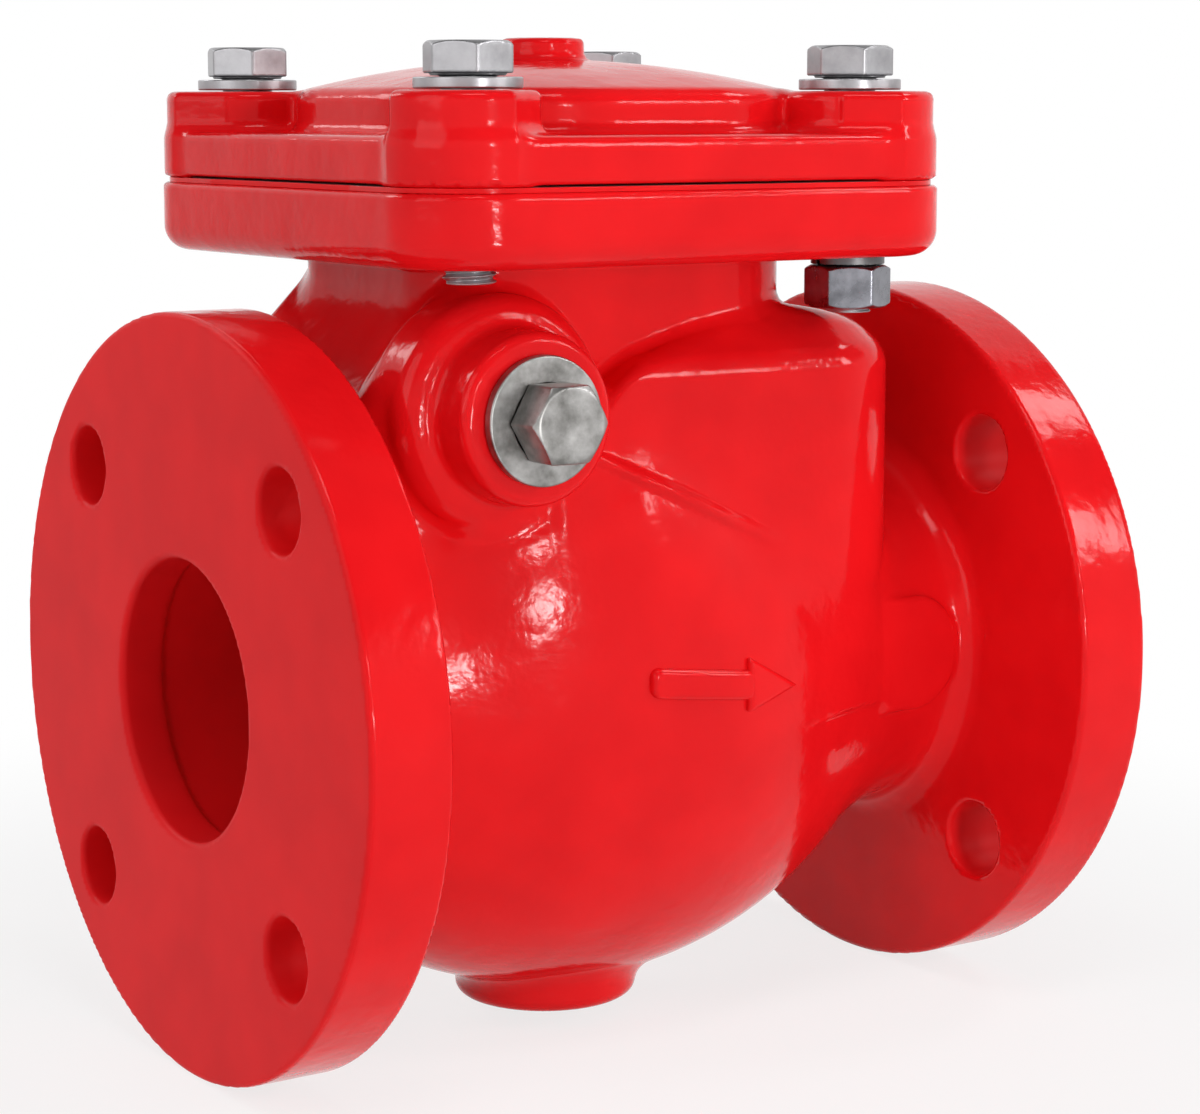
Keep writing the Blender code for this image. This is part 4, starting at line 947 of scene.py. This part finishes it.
band_half = COVER_HALF - JOINT_EDGE_INSET
band_inner = band_half - JOINT_EDGE_WIDTH
band_outlines = [
    rounded_outline(band_half, band_half, COVER_CORNER),
    rounded_outline(band_inner, band_inner, COVER_CORNER - JOINT_EDGE_WIDTH),
]
band = sheet("painted_joint_edge", band_outlines, JOINT_EDGE_THICKNESS)
band_place = Matrix.Translation((0, 0, BONNET_TOP + JOINT_EDGE_RISE))
stand("painted_joint_edge", band, RED, "valve", "bonnet_gasket", band_place)

# The cover's screws, bolts, nuts and washers
washer = turned_ring("flat_washer", FLAT_WASHER, 0.0004)
nut_low = (-HEX_BOX, -HEX_BOX, NUT_TOP - NUT_HEIGHT)
nut = skin("cover_nut", cover_nut, nut_low, (HEX_BOX, HEX_BOX, NUT_TOP), SMALL_CELL)
lock_low = (-LOCK_WASHER, -LOCK_WASHER, LOCK_LOW)
lock_high = (LOCK_WASHER, LOCK_WASHER, LOCK_HIGH)
lock = skin("lock_washer", lock_washer, lock_low, lock_high, 0.6 * SMALL_CELL)
screws = {}
for kind, (length, thread) in SCREW_LENGTHS.items():
    tip = HEAD_SEAT - length
    field = screw(length, tip + thread)
    top = (HEX_BOX, HEX_BOX, HEAD_SEAT + HEAD_HEIGHT)
    screws[kind] = skin(f"cover_{kind}", field, (-HEX_BOX, -HEX_BOX, tip), top, SMALL_CELL)
for corner, (x, y) in BOLT_CORNERS.items():
    kind = "bolt" if corner.startswith("outlet") else "screw"
    place = Matrix.Translation((x, y, 0))
    mesh = screws["short_screw" if corner == "inlet_far" else kind]
    stand(f"hex_{kind}_{corner}", mesh, ZINC, "valve", f"cover_{kind}_{corner}", place)
    if kind == "bolt":
        stand(f"hex_nut_{corner}", nut, NUT_STEEL, "valve", f"cover_nut_{corner}", place)
        stand(f"lock_washer_{corner}", lock, DARK_STEEL, "valve", f"cover_lock_washer_{corner}", place)
    washer_place = Matrix.Translation((x, y, COVER_TOP + GAP))
    stand(f"flat_washer_{corner}", washer, ZINC, "valve", f"cover_washer_{corner}", washer_place)

# The hinge pin, what carries it and the plug that closes its hole
near = Matrix.Translation(HINGE) @ Matrix.Rotation(math.radians(90), 4, "X")
far = Matrix.Translation(HINGE) @ Matrix.Rotation(math.radians(-90), 4, "X")
plug_low, plug_high = (-PLUG_BOX, -PLUG_BOX, PLUG_TIP), (PLUG_BOX, PLUG_BOX, PLUG_TOP)
plug = skin("pin_plug", pin_plug, plug_low, plug_high, SMALL_CELL)
stand("pin_plug", plug, BRIGHT, "valve", "hinge_plug", near)
washer_low = PLUG_PAD[1] + GAP
plug_ring = (PLUG_WASHER_RADIUS, PLUG_THREAD + GAP, washer_low, washer_low + PLUG_WASHER_THICKNESS)
plug_washer = turned_ring("pin_plug_washer", plug_ring, 0.0005)
stand("pin_plug_washer", plug_washer, BRIGHT, "valve", "plug_washer", near)
rod = [(0, PIN_ENDS[0]), (PIN, PIN_ENDS[0]), (PIN, PIN_ENDS[1]), (0, PIN_ENDS[1])]
stand("ground_pin", turned("ground_pin", rod, 0.0008), GROUND, "clapper_arm", "hinge_pin", near)
for name, node, size in (
    ("bush", "hinge_bush", PIN_BUSH),
    ("thrust_washer", "thrust_washer", THRUST_WASHER),
):
    mesh = turned_ring(f"pin_{name}", size, 0.0003)
    stand(f"pin_{name}_near", mesh, TURNED_BRONZE, "valve", f"{node}_near", near)
    stand(f"pin_{name}_far", mesh, TURNED_BRONZE, "valve", f"{node}_far", far)

# The seat ring, and the clapper that shuts on it
lean = Matrix.Rotation(math.radians(90) - SEAT_TILT, 4, "Y")
on_seat = Matrix.Translation(SEAT) @ lean
on_hinge = Matrix.Translation(HINGE) @ lean
seat = turned_ring("bronze_seat", (SEAT_RADIUS, BORE, -SEAT_LENGTH, 0), 0.0006)
stand("bronze_seat", seat, TURNED_BRONZE, "valve", "seat_ring", on_seat)
arm_low = (-ARM_HUB, -ARM_HALF, -ARM_HUB)
arm_high = (DISC_BELOW + ARM_EYE[0], ARM_HALF, ARM_EYE[2] + ARM_RIB_HEIGHT)
arm = skin("arm_casting", clapper_arm, arm_low, arm_high, ARM_CELL)
stand("arm_casting", arm, CAST_BRONZE, "clapper_arm", "clapper_arm", on_hinge)
disc = turned("disc_casting", DISC_PROFILE, 0.0008)
stand("disc_casting", disc, CAST_BRONZE, "clapper_disc", "clapper_disc", on_seat)
for name, size, rounding, material, node in (
    ("rubber_seal", SEAL, 0.0006, RUBBER, "disc_seal"),
    ("seal_plate", SEAL_PLATE, 0.0006, TURNED_BRONZE, "seal_retainer"),
    ("stud_flat_washer", STUD_WASHER, 0.0004, GROUND, "stud_washer"),
):
    stand(name, turned_ring(name, size, rounding), material, "clapper_disc", node, on_seat)
stud_low = (-STUD_HEAD[0], -STUD_HEAD[0], HEAD_FACE - STUD_HEAD[1])
stud = skin("stud_bar", disc_stud, stud_low, (STUD_HEAD[0], STUD_HEAD[0], STUD_TIP), SMALL_CELL)
stand("stud_bar", stud, GROUND, "clapper_disc", "disc_stud", on_seat)
hex_low, hex_high = (-HEX_BOX, -HEX_BOX, NUT_LOW), (HEX_BOX, HEX_BOX, NUT_HIGH)
hex_nut = skin("stud_hex_nut", stud_nut, hex_low, hex_high, SMALL_CELL)
stand("stud_hex_nut", hex_nut, GROUND, "clapper_disc", "stud_nut", on_seat)
cotter_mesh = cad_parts["cotter_pin"].data
cotter_mesh.materials.clear()
cotter_mesh.materials.append(GROUND)

# Camera, at the photograph's viewing angle
camera = bpy.data.objects.new("camera", bpy.data.cameras.new("camera"))
camera.data.lens = LENS
camera.data.sensor_width = 36
camera.data.clip_start = 0.01
back = CAMERA_RIGHT.cross(CAMERA_UP)
camera_turn = Matrix((CAMERA_RIGHT, CAMERA_UP, back)).transposed().to_4x4()
camera.matrix_world = Matrix.Translation(CAMERA_PLACE) @ camera_turn
bpy.context.scene.collection.objects.link(camera)
bpy.context.scene.camera = camera

# Floor that curves up into a backdrop behind the valve
FLOOR = BODY_LOW.z
MIDDLE = Vector((NECK_X, 0, 0.02))
ahead = Vector((-back.x, -back.y)).normalized()
sweep = [(-5.0, 0), (-1.0, 0), (0.0, 0), (0.5, 0), (1.0, 0), (1.4, 0)]
for degrees in range(6, 91, 6):
    bend = math.radians(degrees)
    sweep.append((1.4 + 0.9 * math.sin(bend), 0.9 - 0.9 * math.cos(bend)))
sweep.append((2.3, 3.5))
form = bmesh.new()
columns = []
for across in (-4.5, 4.5):
    column = []
    for reach, height in sweep:
        x = MIDDLE.x + reach * ahead.x + across * ahead.y
        y = MIDDLE.y + reach * ahead.y - across * ahead.x
        column.append(form.verts.new((x, y, FLOOR + height)))
    columns.append(column)
for i in range(len(sweep) - 1):
    form.faces.new((columns[0][i], columns[1][i], columns[1][i + 1], columns[0][i + 1]))
floor_mesh = bpy.data.meshes.new("floor")
form.to_mesh(floor_mesh)
form.free()
floor_mesh.shade_smooth()
floor = bpy.data.objects.new("floor", floor_mesh)
bpy.context.scene.collection.objects.link(floor)
material, tree, shader, place = new_material("pale_floor", Roughness=0.7)
tone = ramp(tree, noise(tree, place, 3, 2), ((0.3, (0.86, 0.86, 0.86)), (0.7, (0.89, 0.89, 0.89))))
tree.links.new(tone, shader.inputs["Base Color"])
offset = vector_math(tree, "SUBTRACT", place, (MIDDLE.x, MIDDLE.y, FLOOR))
distance = vector_math(tree, "LENGTH", offset, output="Value")
plain = mapped(tree, distance, (0.15, 0.40), (0.78, 1.0), "SMOOTHSTEP")
share = number_math(tree, "MULTIPLY", seen_rays(tree), plain)
white = add(tree, "Emission", {"Color": (1, 1, 1, 1), "Strength": 1.0}).outputs["Emission"]
mixed = add(tree, "MixShader", {0: share, 1: shader.outputs["BSDF"], 2: white}).outputs["Shader"]
tree.links.new(mixed, tree.nodes["Material Output"].inputs["Surface"])
floor_mesh.materials.append(material)


def softbox(name, turn, rise, distance, width, height, radiance):
    """A soft light that faces the valve from a direction in degrees."""
    light = bpy.data.lights.new(name, "AREA")
    light.shape = "RECTANGLE"
    light.size = width
    light.size_y = height
    light.energy = radiance * math.pi * width * height
    turn, rise = math.radians(turn), math.radians(rise)
    way = Vector((math.cos(turn) * math.cos(rise), math.sin(turn) * math.cos(rise), math.sin(rise)))
    obj = bpy.data.objects.new(name, light)
    facing = way.to_track_quat("Z", "Y").to_matrix().to_4x4()
    obj.matrix_world = Matrix.Translation(MIDDLE + distance * way) @ facing
    bpy.context.scene.collection.objects.link(obj)


softbox("side_softbox", -92, -2, 1.2, 0.13, 0.09, 82)
softbox("high_side_softbox", -95, 11, 1.2, 0.10, 0.055, 76)
softbox("right_softbox", -57, 18, 1.2, 0.13, 0.18, 22)
softbox("far_right_softbox", -42, 22, 1.2, 0.12, 0.25, 19)
softbox("back_right_softbox", -15, 45, 1.2, 0.22, 0.22, 12)
softbox("top_softbox", -108, 64, 1.3, 0.50, 0.30, 7.5)
softbox("left_softbox", -170, 25, 1.6, 1.0, 1.2, 2.1)
softbox("far_side_softbox", 118, 32, 1.6, 0.5, 0.4, 6.0)

# A dim room, with a white wall all round as far as it is seen
world = bpy.data.worlds.new("studio")
world.use_nodes = True
tree = world.node_tree
height = add(tree, "SeparateXYZ", {"Vector": add(tree, "TexCoord").outputs["Generated"]}).outputs["Z"]
wall = mapped(tree, height, (0.22, 0.42), (1.0, 0.0), "SMOOTHSTEP")
wall = number_math(tree, "MULTIPLY", wall, seen_rays(tree))
strength = mapped(tree, wall, (0, 1), (0.17, 1.0))
tree.links.new(strength, tree.nodes["Background"].inputs["Strength"])
tree.nodes["Background"].inputs["Color"].default_value = (1, 1, 1, 1)
bpy.context.scene.world = world
bpy.context.scene.view_settings.view_transform = "Standard"
